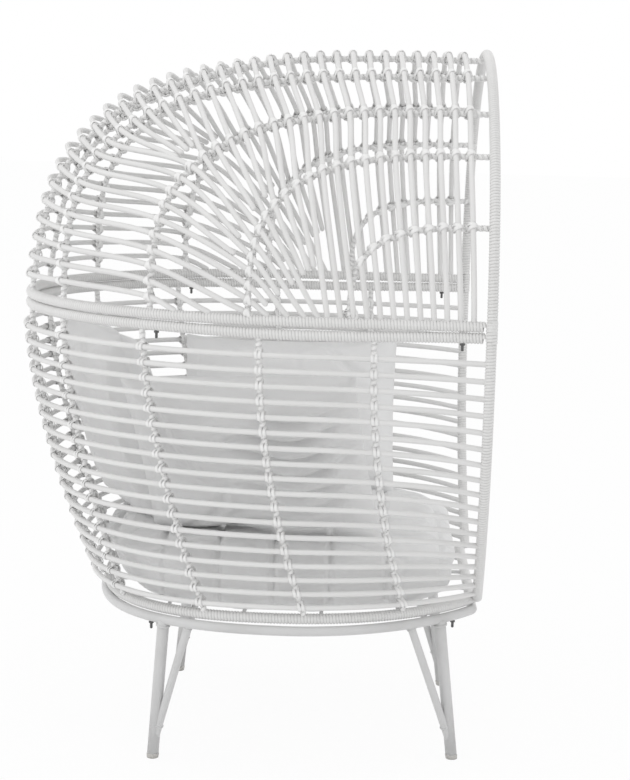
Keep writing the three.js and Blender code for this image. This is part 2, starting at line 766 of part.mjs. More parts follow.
const hoopTop = (k) => placeOn(spineLine, k, hoopCount);

// A hoop in side view, from its top down
function hoopLine(k) {
  const top = hoopTop(k);
  const rib4 = placeOn(rib4Line, k, hoopCount);
  const rib3 = placeOn(rib3Line, rankIn(hoopsAtRib3, k), hoopsAtRib3.length);
  if (!hoopsAtRib3.includes(k)) return [top, rib4, rib4.clone().lerp(rib3, stopShares.rib3)];
  if (k > lastHoopOnRib2) return [top, rib4, rib3, hoopFoot(k)];
  const rib2 = placeOn(rib2Line, rankIn(countedAtRib2, k), countedAtRib2.length);
  if (!hoopsAtRib2.includes(k)) return [top, rib4, rib3, rib3.clone().lerp(rib2, stopShares.rib2)];
  if (!hoopsAtRim.includes(k)) return [top, rib4, rib3, rib2, rib2.clone().lerp(hoopFoot(k), stopShares.rim)];
  return [top, rib4, rib3, rib2, hoopFoot(k)];
}

const hoopSamples = 12;

// Its near side, from the foot up to the spine
function hoopSide(k) {
  const line = smooth(hoopLine(k).reverse());
  const side = [];
  for (let i = 0; i <= hoopSamples; i++) {
    const p = line.getPointAt(Math.sin((i / hoopSamples) * (Math.PI / 2)));
    side.push(hoodPoint(p.x, p.z, 0));
  }
  side[hoopSamples].y = 0;
  return side;
}

// Where a hoop crosses the near back rib
function backRibCrossing(k) {
  const path = smooth(hoopSide(k));
  const y = backRibY(spineLine.front - (k / (hoopCount - 1)) * spineLine.front);
  const step = 0.002;
  let t = 1;
  while (-path.getPoint(t).y < y) t -= step;
  return path.getPoint(t);
}

// A lashing strand runs along each back rib and holds the hoops of one group together
function hoopStrand(first, last, side) {
  const points = [];
  for (let k = first; k <= last; k++) {
    const crossing = backRibCrossing(k);
    points.push(side < 0 ? crossing : mirrored(crossing));
  }
  return bar(smooth(points), strandThickness, 3, Math.ceil((last - first) / 2));
}

function addHoops() {
  const groups = { front: [0, 10], crown: [11, 22], back: [23, 32] };
  for (const [name, [first, last]] of Object.entries(groups)) {
    const pieces = [-1, 1].map((side) => hoopStrand(first, last, side));
    for (let k = first; k <= last; k++) {
      pieces.push(bar(smooth(bothSides(hoopSide(k))), caneThickness, 4, hoopSteps));
    }
    addPiece(`hood_hoops_${name}`, geometryOf(joined(pieces)), cane);
  }
}

// Cushions

// A box grid drawn into a crowned shape: place(s, t, face) moves each of its corners, which run from -1 to 1
function paddedBox(width, height, thickness, cells, place) {
  const geometry = new THREE.BoxGeometry(2, 2, 2, cells, cells, 1);
  const position = geometry.attributes.position;
  for (let i = 0; i < position.count; i++) {
    const p = place(position.getX(i), position.getY(i), position.getZ(i));
    position.setXYZ(i, (p[0] * width) / 2, (p[1] * height) / 2, (p[2] * thickness) / 2);
  }
  geometry.computeVertexNormals();
  return geometry;
}

// A square scatter pillow: full in the middle, thin at the seam, its sides drawn in between pointed corners
function scatterPillow({ width, height, thickness }) {
  const { drawnIn, seam, slope } = pillowShares;
  return paddedBox(width, height, thickness, pillowCells, (s, t, face) => {
    const x = s * (1 - drawnIn * (1 - t * t) * s * s);
    const y = t * (1 - drawnIn * (1 - s * s) * t * t);
    const full = ((1 - s ** 4) * (1 - t ** 4)) ** 0.5 * (1 - (slope * (s * s + t * t)) / 2);
    return [x, y, face * (seam + (1 - seam) * full)];
  });
}

// The seat cushion follows the basket's floor, with a crown, drawn-in sides and sewn tufts
function seatPad() {
  const { height, clearance, corner, crown, crownRound } = seatCushion;
  const base = latticeZ + latticeThickness / 2 + gap;
  const side = trayOutline(
    {
      frontX: trayFrontX - clearance,
      centreX: standCentreX,
      backX: trayBackX + clearance,
      halfWidth: trayHalfWidth - clearance,
      corner,
    },
    base,
  ).points;
  const edge = new THREE.CatmullRomCurve3(bothSides(side).slice(0, -1).reverse(), true, "centripetal");
  const outline = edge.getSpacedPoints(seatSides).slice(0, -1);
  const positions = [];
  seatReachShares.forEach((reach, level) => {
    const rise = seatRiseShares[level];
    for (const p of outline) {
      const backward = p.x < standCentreX;
      const widenX = THREE.MathUtils.lerp(1, backward ? seatWidenShares.back : seatWidenShares.front, rise);
      const widenY = THREE.MathUtils.lerp(1, seatWidenShares.front, rise);
      const x = (p.x - standCentreX) * reach * widenX;
      const y = p.y * reach * widenY;
      const dome = crown * rise * (1 - reach ** crownRound);
      const dip = rise === 1 ? tuftsAt(x, y) : 0;
      positions.push(standCentreX + x, y, base + height * rise + dome - dip);
    }
  });
  const under = positions.length / 3;
  positions.push(standCentreX, 0, base);
  positions.push(standCentreX, 0, base + height + crown - tuftsAt(0, 0));
  const index = [];
  const lastRing = under - seatSides;
  for (let i = 0; i < seatSides; i++) {
    const next = (i + 1) % seatSides;
    for (let ring = 0; ring < lastRing; ring += seatSides) {
      const [a, b] = [ring + i, ring + next];
      index.push(a, b, b + seatSides, a, b + seatSides, a + seatSides);
    }
    index.push(under, next, i);
    index.push(under + 1, lastRing + i, lastRing + next);
  }
  const geometry = new THREE.BufferGeometry();
  geometry.setAttribute("position", new THREE.Float32BufferAttribute(positions, 3));
  geometry.setIndex(index);
  geometry.computeVertexNormals();
  return geometry;
}

// How deep the tufts draw in the seat's top at a place
function tuftsAt(x, y) {
  const { across, deep, depth, width } = seatTufts;
  let dip = 0;
  for (let i = 0; i < deep; i++) {
    for (let j = 0; j < across; j++) {
      const tuftX = (i / (deep - 1) - 0.5) * trayHalfWidth;
      const tuftY = (j / (across - 1) - 0.5) * trayHalfWidth;
      dip += depth * Math.exp(-((x - tuftX) ** 2 + (y - tuftY) ** 2) / width ** 2);
    }
  }
  return dip;
}

function addPillow(name, shape, place) {
  const mesh = addPiece(name, scatterPillow(shape), fabric);
  mesh.rotation.set(Math.PI / 2 - rad(place.lean), 0, rad(place.turn), "ZYX");
  mesh.rotateZ(rad(place.roll));
  mesh.position.set(place.x, place.y, place.z);
}

// Assembly

addPiece("stand_ring", geometryOf(cutBy(standRing, holesFor(standBolts))), paint);
for (const side of [-1, 1]) {
  addLeg("back", side, sideNames[side]);
  addLeg("front", side, sideNames[side]);
}
addPiece("basket_lower_rim", geometryOf(cutBy(lowerRim, holesFor(standBolts))), wicker);
addPiece("basket_upper_rim", geometryOf(cutBy(upperRim, [...postCutters, ...holesFor(seamBolts)])), wicker);
addBasketPosts();
addBasketRibs();
addCaneRows();
addLattice();
addHoodFrame();
addHoops();
for (const bolt of seamBolts) addBolt("seam_bolt", bolt);
for (const bolt of standBolts) addBolt("stand_bolt", bolt);
addPiece("seat_cushion", seatPad(), fabric);
addPillow("back_pillow", backPillow, backPlace);
addPillow("left_pillow", sidePillow, leftPlace);
addPillow("right_pillow", sidePillow, rightPlace);

export default chair;
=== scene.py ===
# Looks of a rattan garden armchair: a cane basket under a cane hood on a steel stand, with its cushions.
# Metres. +X points out of the open front, +Z is up and the near side of the photograph is -Y.
import math
import random

import bpy
import numpy as np
from mathutils import Matrix, Vector


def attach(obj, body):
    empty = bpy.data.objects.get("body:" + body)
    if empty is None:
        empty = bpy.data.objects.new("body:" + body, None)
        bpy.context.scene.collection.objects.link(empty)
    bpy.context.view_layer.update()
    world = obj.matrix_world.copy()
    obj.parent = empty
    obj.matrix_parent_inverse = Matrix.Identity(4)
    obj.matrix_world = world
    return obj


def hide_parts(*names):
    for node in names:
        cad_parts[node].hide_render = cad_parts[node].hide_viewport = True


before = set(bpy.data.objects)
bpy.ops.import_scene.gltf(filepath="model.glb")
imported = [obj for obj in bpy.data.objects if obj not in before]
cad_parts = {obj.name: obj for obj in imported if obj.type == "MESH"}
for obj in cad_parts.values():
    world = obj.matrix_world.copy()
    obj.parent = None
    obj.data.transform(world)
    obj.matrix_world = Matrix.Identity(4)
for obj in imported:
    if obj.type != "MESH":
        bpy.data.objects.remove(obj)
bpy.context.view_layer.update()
print("frame loaded")

up = np.array([0.0, 0.0, 1.0])
forward = np.array([1.0, 0.0, 0.0])


def newObject(name, data):
    made = bpy.data.objects.new(name, data)
    bpy.context.scene.collection.objects.link(made)
    return made


def setAll(target, settings):
    for key, value in settings.items():
        setattr(target, key, value)


def joinFrame(piece, node):
    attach(piece, "root")
    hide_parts(node)


# The camera stands where the photograph was taken
photoCamera = {
    "place": (0.208, -4.6566, 1.4156),
    "yaw": -0.0155,  # radians
    "pitch": 0.144,
    "roll": 0.0276,
    "focalPixels": 2135,
    "imageHeight": 780,
    "sensor": 36,
}


def makeCamera():
    yaw, pitch, roll = photoCamera["yaw"], photoCamera["pitch"], photoCamera["roll"]
    right = Vector((math.cos(yaw), -math.sin(yaw), 0))
    ahead = Vector((math.sin(yaw) * math.cos(pitch), math.cos(yaw) * math.cos(pitch), -math.sin(pitch)))
    above = right.cross(ahead)
    x = math.cos(roll) * right + math.sin(roll) * above
    y = math.cos(roll) * above - math.sin(roll) * right
    data = bpy.data.cameras.new("photoCamera")
    data.sensor_width = photoCamera["sensor"]
    data.lens = photoCamera["focalPixels"] * photoCamera["sensor"] / photoCamera["imageHeight"]
    camera = newObject("photoCamera", data)
    turn = Matrix((x, y, -ahead)).transposed().to_4x4()
    camera.matrix_world = Matrix.Translation(photoCamera["place"]) @ turn
    bpy.context.scene.camera = camera


makeCamera()
bpy.context.scene.view_settings.view_transform = "Standard"
print("camera placed")

# Shader maths as Python expressions


class Wire:
    def __init__(self, nodes, socket):
        self.nodes = nodes
        self.socket = socket

    def math(self, operation, *others):
        values = dict(enumerate((self, *others)))
        return self.nodes.node("ShaderNodeMath", {"operation": operation}, values)

    def __add__(self, other):
        return self.math("ADD", other)

    def __sub__(self, other):
        return self.math("SUBTRACT", other)

    def __mul__(self, other):
        return self.math("MULTIPLY", other)

    def __rsub__(self, other):
        return self.nodes.node("ShaderNodeMath", {"operation": "SUBTRACT"}, {0: other, 1: self})

    def __pow__(self, other):
        return self.math("POWER", other)

    def __abs__(self):
        return self.math("ABSOLUTE")

    __radd__ = __add__
    __rmul__ = __mul__

    def rise(self, low, high):  # 0 below low, 1 above high
        settings = {"interpolation_type": "SMOOTHSTEP"}
        return self.nodes.node("ShaderNodeMapRange", settings, {0: self, 1: low, 2: high})


class Nodes:
    def __init__(self, tree):
        self.tree = tree

    def node(self, kind, settings=None, values=None, out=0):
        made = self.tree.nodes.new(kind)
        setAll(made, settings or {})
        for key, value in (values or {}).items():
            if isinstance(value, Wire):
                self.tree.links.new(value.socket, made.inputs[key])
            else:
                made.inputs[key].default_value = value
        return Wire(self, made.outputs[out]) if len(made.outputs) else None


# A surface whose colour lies between a light and a dark one
class Finish(Nodes):
    def __init__(self, name, finish):
        self.finish = finish
        self.material = bpy.data.materials.new(name)
        self.material.use_nodes = True
        self.material.diffuse_color = finish["light"]
        super().__init__(self.material.node_tree)
        self.surface = next(n for n in self.tree.nodes if n.type == "BSDF_PRINCIPLED")
        fixed = {"Base Color": finish["light"], "Roughness": finish["roughness"], **finish.get("fixed", {})}
        for socket, value in fixed.items():
            self.surface.inputs[socket].default_value = value

    def place(self):
        return self.node("ShaderNodeTexCoord", out=3)

    # Where a point lies on its strand: across it, along it, and a number of the strand's own
    def lay(self):
        return self.split(self.node("ShaderNodeAttribute", {"attribute_name": "lay"}, out=1))

    def split(self, vector):
        return [self.node("ShaderNodeSeparateXYZ", {}, {0: vector}, out=i) for i in range(3)]

    def joinUp(self, x, y, z):
        return self.node("ShaderNodeCombineXYZ", {}, {0: x, 1: y, 2: z})

    def noise(self, vector, scale, detail):
        return self.node("ShaderNodeTexNoise", {}, {"Vector": vector, "Scale": scale, "Detail": detail})

    def blend(self, share, first, second):
        return self.node("ShaderNodeMix", {"data_type": "RGBA"}, {0: share, 6: first, 7: second}, out=2)

    def darken(self, share):
        return self.blend(share, self.finish["light"], self.finish["dark"])

    def feed(self, socket, wire):
        self.tree.links.new(wire.socket, self.surface.inputs[socket])

    def finished(self, color, height, unevenness=None):
        self.feed("Base Color", color)
        if unevenness is not None:
            self.feed("Roughness", unevenness * self.finish["rougher"] + self.finish["smoothest"])
        values = {"Height": height, "Distance": self.finish["bump"], "Strength": 1.0}
        self.feed("Normal", self.node("ShaderNodeBump", {}, values))
        return self.material


def grey(level, warmth=0.0):
    return (level * (1 + warmth), level, level * (1 - 2 * warmth), 1)


# Painted cane: each cane has its own shade, streaks along it and a faint ring at each joint of the stalk
caneFinish = {
    "light": grey(0.79, 0.003),
    "dark": grey(0.71, 0.005),
    "roughness": 0.46,
    "smoothest": 0.36,
    "rougher": 0.22,
    "streaksAround": 9,
    "streaksAlong": 14,  # per metre
    "patchesAlong": 5,
    "jointSpacing": 0.31,
    "jointWidth": 0.012,
    "bump": 0.0005,
}


def makeCaneFinish(name, finish):
    made = Finish(name, finish)
    around, along, seed = made.lay()
    stretched = made.joinUp(around * finish["streaksAround"], along * finish["streaksAlong"], seed * 37)
    streak = made.noise(stretched, 1.0, 3.0)
    patch = made.noise(made.joinUp(around, along * finish["patchesAlong"], seed * 11), 1.0, 2.0)
    shifted = along * (1 / finish["jointSpacing"]) + seed * 7
    nearJoint = abs(shifted.math("FRACT") - 0.5)
    joint = 1 - nearJoint.rise(0, finish["jointWidth"] / finish["jointSpacing"])
    shade = patch.rise(0.35, 0.75) * 0.45 + streak.rise(0.4, 0.8) * 0.3 + seed * 0.25
    return made.finished(made.darken(shade), streak * 0.5 + joint, streak)


# Flat wicker strand, wound round a tube or tied round a crossing; towards its sides the colour is darkened as
# painted shade in the groove between two turns
wickerFinish = {
    "light": grey(0.80, 0.003),
    "dark": grey(0.72, 0.006),
    # Painted shade: the colour of the groove between two turns, and below it the share of it
    "deep": grey(0.52, 0.008),
    "edge": 0.6,  # how much deeper the colour gets between two turns
    "roughness": 0.5,
    "smoothest": 0.4,
    "rougher": 0.2,
    "grainAcross": 14,
    "grainAlong": 25,
    "patchScale": 9.0,
    "bump": 0.00035,
}
# The ties and whippings on the ribs: the same strand with its colour painted lighter, as painted light that
# lifts the shade they lie in, and without the painted groove shade
litLashingFinish = {**wickerFinish, "light": grey(0.88, 0.002), "dark": grey(0.81, 0.004), "edge": 0.0}


def makeWickerFinish(name, finish):
    made = Finish(name, finish)
    across, along, seed = made.lay()
    stretched = made.joinUp(across * finish["grainAcross"], along * finish["grainAlong"], seed * 53)
    grain = made.noise(stretched, 1.0, 3.0)
    patch = made.noise(made.place(), finish["patchScale"], 3.0)
    shade = grain.rise(0.35, 0.8) * 0.4 + patch.rise(0.4, 0.75) * 0.35 + seed * 0.15
    # Painted shade: near both sides of the strand, where two turns meet in a groove, the colour darkens to
    # the painted groove shade
    edge = abs(across - 0.5).rise(0.3, 0.5) * finish["edge"]
    return made.finished(made.blend(edge, made.darken(shade), finish["deep"]), grain, grain)


# Satin powder coat with a slight orange peel, a little dull in patches
paintFinish = {
    "light": grey(0.65, 0.0),
    "dark": grey(0.57, 0.004),
    "roughness": 0.36,
    "smoothest": 0.26,
    "rougher": 0.2,
    "peelScale": 420,
    "patchScale": 7.0,
    "bump": 0.00025,
}


def makePaintFinish(name, finish):
    made = Finish(name, finish)
    place = made.place()
    peel = made.noise(place, finish["peelScale"], 1.0)
    patch = made.noise(place, finish["patchScale"], 4.0)
    return made.finished(made.darken(patch.rise(0.45, 0.8)), peel, patch)


# Dull moulded caps under the feet, darker towards the bottom where they stand
capFinish = {
    "light": grey(0.55, 0.02),
    "dark": grey(0.36, 0.03),
    "roughness": 0.6,
    "darkBandHeight": 0.004,
    "speckleScale": 900.0,
    "bump": 0.0002,
}


def makeCapFinish(name, finish):
    made = Finish(name, finish)
    place = made.place()
    speckle = made.noise(place, finish["speckleScale"], 2.0)
    # Darker towards the bottom, up to the band's height, with a few speckles
    lowDown = 1 - made.split(place)[2].rise(0, finish["darkBandHeight"])
    capTone = lowDown * 0.7 + speckle.rise(0.5, 0.8) * 0.3
    return made.finished(made.darken(capTone), speckle)


# Blackened bolt steel
boltFinish = {
    "light": grey(0.16),
    "dark": grey(0.07),
    "roughness": 0.42,
    "smoothest": 0.3,
    "rougher": 0.3,
    "fixed": {"Metallic": 0.6},
    "spotScale": 700.0,
    "bump": 0.0001,
}


def makeBoltFinish(name, finish):
    made = Finish(name, finish)
    spots = made.noise(made.place(), finish["spotScale"], 3.0)
    return made.finished(made.darken(spots.rise(0.4, 0.7)), spots, spots)


# Plain-woven outdoor cloth: threads cross over and under, a little uneven
clothFinish = {
    "light": grey(0.84, 0.0),
    "dark": grey(0.76, 0.0),
    "roughness": 0.88,
    "fixed": {"Sheen Weight": 0.18, "Sheen Roughness": 0.5, "Specular IOR Level": 0.3},
    "threadSpacing": 0.0011,
    "wanderScale": 60.0,
    "slubScale": 260.0,
    "patchScale": 6.0,
    "bump": 0.0004,
}


def makeClothFinish(name, finish):
    made = Finish(name, finish)
    place = made.place()
    wander = made.noise(place, finish["wanderScale"], 2.0)
    x, y, z = made.split(place)
    turns = math.pi / finish["threadSpacing"]
    waves = [(axis * turns + wander * 2).math("SINE") for axis in (x, y, z)]
    facing = [abs(axis) ** 3 for axis in made.split(made.node("ShaderNodeNewGeometry", out=1))]
    weave = facing[0] * (waves[1] * waves[2])
    weave = weave + facing[1] * (waves[0] * waves[2])
    weave = weave + facing[2] * (waves[0] * waves[1])
    slub = made.noise(made.joinUp(x * 3, y, z * 3), finish["slubScale"], 2.0)
    patch = made.noise(place, finish["patchScale"], 3.0)
    shade = patch.rise(0.4, 0.8) * 0.4 + slub.rise(0.5, 0.8) * 0.2 + (weave * 0.5 + 0.5) * 0.3
    return made.finished(made.darken(shade), weave * 0.5 + slub * 0.4)


cane = makeCaneFinish("paintedCane", caneFinish)
wicker = makeWickerFinish("flatWicker", wickerFinish)
lashing = makeWickerFinish("lashing", litLashingFinish)
paint = makePaintFinish("powderCoat", paintFinish)
capPlastic = makeCapFinish("capPlastic", capFinish)
boltSteel = makeBoltFinish("boltSteel", boltFinish)
cloth = makeClothFinish("wovenCloth", clothFinish)
print("finishes made")

# Lines in space


def unit(v):
    return v / np.linalg.norm(v, axis=-1, keepdims=True)


def mix(a, b, t):
    return a + (b - a) * t


def mirrored(points):
    return points * np.array([1, -1, 1])


# One side of the chair runs from the front to the back, and its mirror image comes forward again
def bothSides(points):
    return np.vstack([points, mirrored(points[-2::-1])])


def lengthsAlong(points):
    steps = np.linalg.norm(np.diff(points, axis=0), axis=1)
    return np.concatenate([[0], np.cumsum(steps)])


def readAlong(distance, lengths, values):
    return np.stack([np.interp(distance, lengths, values[:, i]) for i in range(3)], axis=-1)


# A line that can be read at any distance from its start
class Line:
    def __init__(self, points):
        self.points = np.asarray(points, float)
        self.lengths = lengthsAlong(self.points)
        self.length = self.lengths[-1]

    def at(self, distance):
        return readAlong(distance, self.lengths, self.points)

    def spaced(self, spacing):
        count = max(2, round(self.length / spacing) + 1)
        return self.at(np.linspace(0, self.length, count))


def between(low, high, t, first, second):
    return ((high - t) * first + (t - low) * second) / (high - low)


# A smooth line through a few points
def smoothLine(points, perStretch=24):
    points = np.asarray(points, float)
    ends = np.vstack([2 * points[0] - points[1], points, 2 * points[-1] - points[-2]])
    found = []
    for i in range(len(points) - 1):
        p = ends[i : i + 4]
        knots = np.concatenate([[0], np.cumsum(np.sqrt(np.linalg.norm(np.diff(p, axis=0), axis=1)))])
        t = np.linspace(knots[1], knots[2], perStretch, endpoint=False)[:, None]
        a = [between(knots[j], knots[j + 1], t, p[j], p[j + 1]) for j in range(3)]
        b = [between(knots[j], knots[j + 2], t, a[j], a[j + 1]) for j in range(2)]
        found.append(between(knots[1], knots[2], t, b[0], b[1]))
    return np.vstack([*found, points[-1:]])


def tangentsOf(path, closed=False):
    if closed:
        return unit(np.roll(path, -1, axis=0) - np.roll(path, 1, axis=0))
    return unit(np.gradient(path, axis=0))


# Two directions square to the path at each point: kept close to a fixed one, or carried along
def framesOf(path, tangents, reference=None):
    if reference is not None:
        reference = np.broadcast_to(reference, path.shape)
        b = unit(reference - np.sum(reference * tangents, axis=1, keepdims=True) * tangents)
        return np.cross(b, tangents), b
    b = up if abs(tangents[0][2]) < 0.9 else forward
    found = []
    for tangent in tangents:
        b = unit(b - np.dot(b, tangent) * tangent)
        found.append(b)
    b = np.array(found)
    return np.cross(b, tangents), b


# Two small rings more close each end with a dome
def roundEnds(path, tangents, reference, thickness):
    shares = np.array([0.55, 0.9])
    narrowed = np.sqrt(1 - shares**2)
    outward = shares[:, None] * thickness / 2
    start = path[0] - tangents[0] * outward[::-1]
    end = path[-1] + tangents[-1] * outward
    swell = np.concatenate([narrowed[::-1], np.ones(len(path)), narrowed])
    twoMore = ((2, 2), (0, 0))
    if reference is not None:
        reference = np.pad(np.broadcast_to(reference, path.shape), twoMore, "edge")
    return np.vstack([start, path, end]), np.pad(tangents, twoMore, "edge"), reference, swell


strand = {"width": 0.0064, "crown": 0.0019, "rings": 6}  # flat wicker wound round the rims
hoodTie = {"wide": 0.0088, "thick": 0.0026, "steps": 20, "slantDegrees": 20, "apart": 0.0022}
basketTie = {"wide": 0.0078, "thick": 0.0017, "steps": 20, "slantDegrees": 2, "apart": 0.0037}
tieLimits = {"lean": 0.35, "reach": 3.5}  # so that a slanting tie doesn't get too long


# Collects tubes and strands into one mesh
class Strands:
    def __init__(self, seed):
        self.points = []
        self.faces = []
        self.lay = []
        self.count = 0
        self.random = random.Random(seed)

    # Rows of points: around closes each row, and closed joins the last row to the first, in place of two caps
    def addGrid(self, grid, lay, closed=False, around=True):
        rings, sides = grid.shape[:2]
        first = self.count
        self.points.append(grid.reshape(-1, 3))
        self.lay.append(lay.reshape(-1, 3))
        self.count += rings * sides
        spans = (rings if closed else rings - 1, sides if around else sides - 1)
        i, j = np.meshgrid(np.arange(spans[0]), np.arange(spans[1]), indexing="ij")
        row = first + i * sides
        nextRow = first + (i + 1) % rings * sides
        after = (j + 1) % sides
        quads = np.stack([row + j, row + after, nextRow + after, nextRow + j], axis=-1)
        self.faces.extend(quads.reshape(-1, 4).tolist())
        if around and not closed:
            self.faces.append(list(range(first + sides - 1, first - 1, -1)))
            self.faces.append(list(range(self.count - sides, self.count)))

    # A tube or a flat strand: wide is measured along the reference, thick square to it
    def add(self, path, wide, thick=None, sides=12, reference=None, closed=False, rounded=True):
        path = np.asarray(path, float)
        thick = wide if thick is None else thick
        tangents = tangentsOf(path, closed)
        swell = np.ones(len(path))
        if rounded and not closed:
            path, tangents, reference, swell = roundEnds(path, tangents, reference, min(wide, thick))
        n, b = framesOf(path, tangents, reference)
        turn = np.arange(sides) / sides * 2 * np.pi
        wideHalf = (wide / 2 * swell)[:, None, None] * np.cos(turn)[:, None]
        thickHalf = (thick / 2 * swell)[:, None, None] * np.sin(turn)[:, None]
        grid = path[:, None] + wideHalf * b[:, None] + thickHalf * n[:, None]
        across = np.abs(turn / np.pi - 1)
        seed = self.random.random()
        lay = np.stack(np.broadcast_arrays(across, lengthsAlong(path)[:, None], seed), axis=-1)
        self.addGrid(grid, lay, closed)

    # A tube wound closely in one flat strand, whose turns run as one helix
    def addWound(self, line, thickness, reference, closed=False, sides=14):
        rings = strand["rings"]
        turns = round(line.length / strand["width"])
        pitch = line.length / turns
        path = line.spaced(pitch / 2)
        tangents = tangentsOf(path)
        if closed:
            tangents[0] = tangents[-1] = unit(path[1] - path[-2])
        i, j = np.meshgrid(np.arange(turns * rings + 1), np.arange(sides + 1), indexing="ij")
        along = (i / rings + j / sides) * pitch
        along = np.mod(along, line.length) if closed else np.minimum(along, line.length)
        places = lengthsAlong(path)
        fields = (path, *framesOf(path, tangents, reference))
        path, n, b = (readAlong(along, places, field) for field in fields)
        turn = (j / sides * 2 * np.pi)[..., None]
        across = (i % rings) / rings * 2 - 1
        radius = (thickness / 2 - np.abs(across) ** 3 * strand["crown"])[..., None]
        seeds = np.array([self.random.random() for _ in range(turns + 2)])
        lay = np.stack([across * 0.5 + 0.5, along, seeds[i // rings]], axis=-1)
        self.addGrid(path + radius * (np.cos(turn) * n + np.sin(turn) * b), lay, around=False)

    # One diagonal tie round a crossing: a strand pulled tight over the outer bar and the inner one
    def addTie(self, centre, outerDir, innerDir, out, outerRadius, innerRadius, slant, tie):
        across = unit(outerDir * math.cos(slant) + innerDir * math.sin(slant))
        across = unit(across - np.dot(across, out) * out)
        half = tie["thick"] / 2
        hull = []
        for direction, radius, sign in ((outerDir, outerRadius, 1), (innerDir, innerRadius, -1)):
            lean = max(tieLimits["lean"], np.linalg.norm(np.cross(across, direction)))
            reach = min(radius + half * tieLimits["reach"], radius / lean + half)
            hull.append((sign * radius, radius + half, reach))
        path = []
        for i in range(tie["steps"]):
            turn = i / tie["steps"] * 2 * math.pi
            c, s = math.cos(turn), math.sin(turn)
            best = max(hull, key=lambda h: h[0] * c + math.hypot(h[1] * c, h[2] * s))
            size = math.hypot(best[1] * c, best[2] * s)
            outward = best[0] + best[1] ** 2 * c / size
            path.append(centre + out * outward + across * (best[2] ** 2 * s / size))
        side = unit(np.cross(out, across))
        self.add(path, tie["wide"], tie["thick"], sides=6, reference=side, closed=True)

    def build(self, name, material, node):
        mesh = bpy.data.meshes.new(name)
        mesh.from_pydata(np.vstack(self.points).tolist(), [], self.faces)
        lay = mesh.attributes.new("lay", "FLOAT_VECTOR", "POINT")
        lay.data.foreach_set("vector", np.vstack(self.lay).astype(np.float32).ravel())
        mesh.materials.append(material)
        mesh.shade_smooth()
        joinFrame(newObject(name, mesh), node)


# Driving sizes, the same as the frame's
chair = {
    "height": 1.49,
    "frontX": 0.485,
    "seamHeight": 0.9375,
    "seamBendX": 0.115,
    "gap": 0.0003,
}
shell = {"backX": -0.501, "halfWidth": 0.524}
rim = {"backX": -0.488, "halfWidth": 0.516, "thickness": 0.022, "sag": 0.004}
canes = {"thickness": 0.0114, "sides": 10, "spacing": 0.014}
ribs = {"core": 0.0100, "inset": 0.0112, "spacing": 0.012, "fine": 0.002}
posts = {"thickness": 0.022, "foot": 0.985}

rimStartX = chair["frontX"] - posts["thickness"] / 2
hoodRimZ = chair["seamHeight"] + chair["gap"] / 2 + rim["thickness"] / 2
basketRimZ = chair["seamHeight"] - chair["gap"] / 2 - rim["thickness"] / 2
stand = {
    "height": 0.318,
    "thickness": 0.020,
    "frontX": 0.485,
    "centreX": 0.090,
    "backX": -0.310,
    "halfWidth": 0.467,
    "corner": 0.025,
    "sag": 0.003,
    "backSquareness": 2.6,
}
trayZ = stand["height"] + stand["thickness"] / 2 + chair["gap"] + rim["thickness"] / 2
tray = {**stand, "height": trayZ, "frontX": 0.481, "backX": -0.303, "halfWidth": 0.460}
wallFoot = {**tray, "frontX": 0.495, "backX": -0.325, "halfWidth": 0.472}
seamBoltX = {"back": -0.175, "front": 0.429}
standBoltX = {"back": -0.181, "front": 0.441}


# Outlines seen from above, from the front to the middle of the back, on the -Y side
def seamOutline(shape, startX, z, steps=48):
    bendX, half = chair["seamBendX"], shape["halfWidth"]
    reach = bendX - shape["backX"]
    points = [(mix(startX, bendX, t), -half, z) for t in np.linspace(0, 1, 14, endpoint=False)]
    for a in np.linspace(0, math.pi / 2, steps):
        points.append((bendX - reach * math.sin(a), -half * math.cos(a), z))
    return np.array(points)


# From the middle of the front edge, or from a share of the way round the corner
def trayOutline(shape, fromCorner=None, steps=40):
    corner, half, centreX = shape["corner"], shape["halfWidth"], shape["centreX"]
    cornerX = shape["frontX"] - corner
    cornerY = math.sqrt((half - corner) ** 2 - (cornerX - centreX) ** 2)
    start = math.atan2(cornerY, cornerX - centreX)
    points = []
    if fromCorner is None:
        points = [(shape["frontX"], -cornerY * t) for t in np.linspace(0, 1, 20, endpoint=False)]
    for a in np.linspace(start * (fromCorner or 0), start, 10, endpoint=False):
        points.append((cornerX + corner * math.cos(a), -cornerY - corner * math.sin(a)))
    for a in np.linspace(start, math.pi / 2, steps, endpoint=False):
        points.append((centreX + half * math.cos(a), -half * math.sin(a)))
    power = 2 / shape["backSquareness"]
    for a in np.linspace(0, math.pi / 2, steps):
        x = (centreX - shape["backX"]) * math.sin(a) ** power
        points.append((centreX - x, -half * max(0, math.cos(a)) ** power))
    return np.array([(x, y, shape["height"]) for x, y in points])


# A rim sinks a little between its two bolts
def hang(points, boltX, depth):
    low, high = boltX["back"], boltX["front"]
    t = (points[:, 0] - (low + high) / 2) / ((high - low) / 2)
    points = points.copy()
    points[:, 2] -= np.where(np.abs(t) < 1, depth * (1 - t * t) ** 2, 0)
    return points


# The place at x on an outline that runs steadily back, on either side of the chair
def besideOutline(outline, x, side):
    y, z = (np.interp(-x, -outline[:, 0], outline[:, i]) for i in (1, 2))
    return np.array([x, -side * y, z])


# The basket's wall: along runs from one front post (0) by the back (1) to the other (2),
# and down runs from the upper rim (0) to the lower one (1)
wall = {"backBow": 1.7, "frontBow": 2.6, "footFromCorner": 0.7, "samples": 40}
wallTop = Line(seamOutline(shell, chair["frontX"], basketRimZ))
wallBottom = Line(trayOutline(wallFoot, fromCorner=wall["footFromCorner"]))


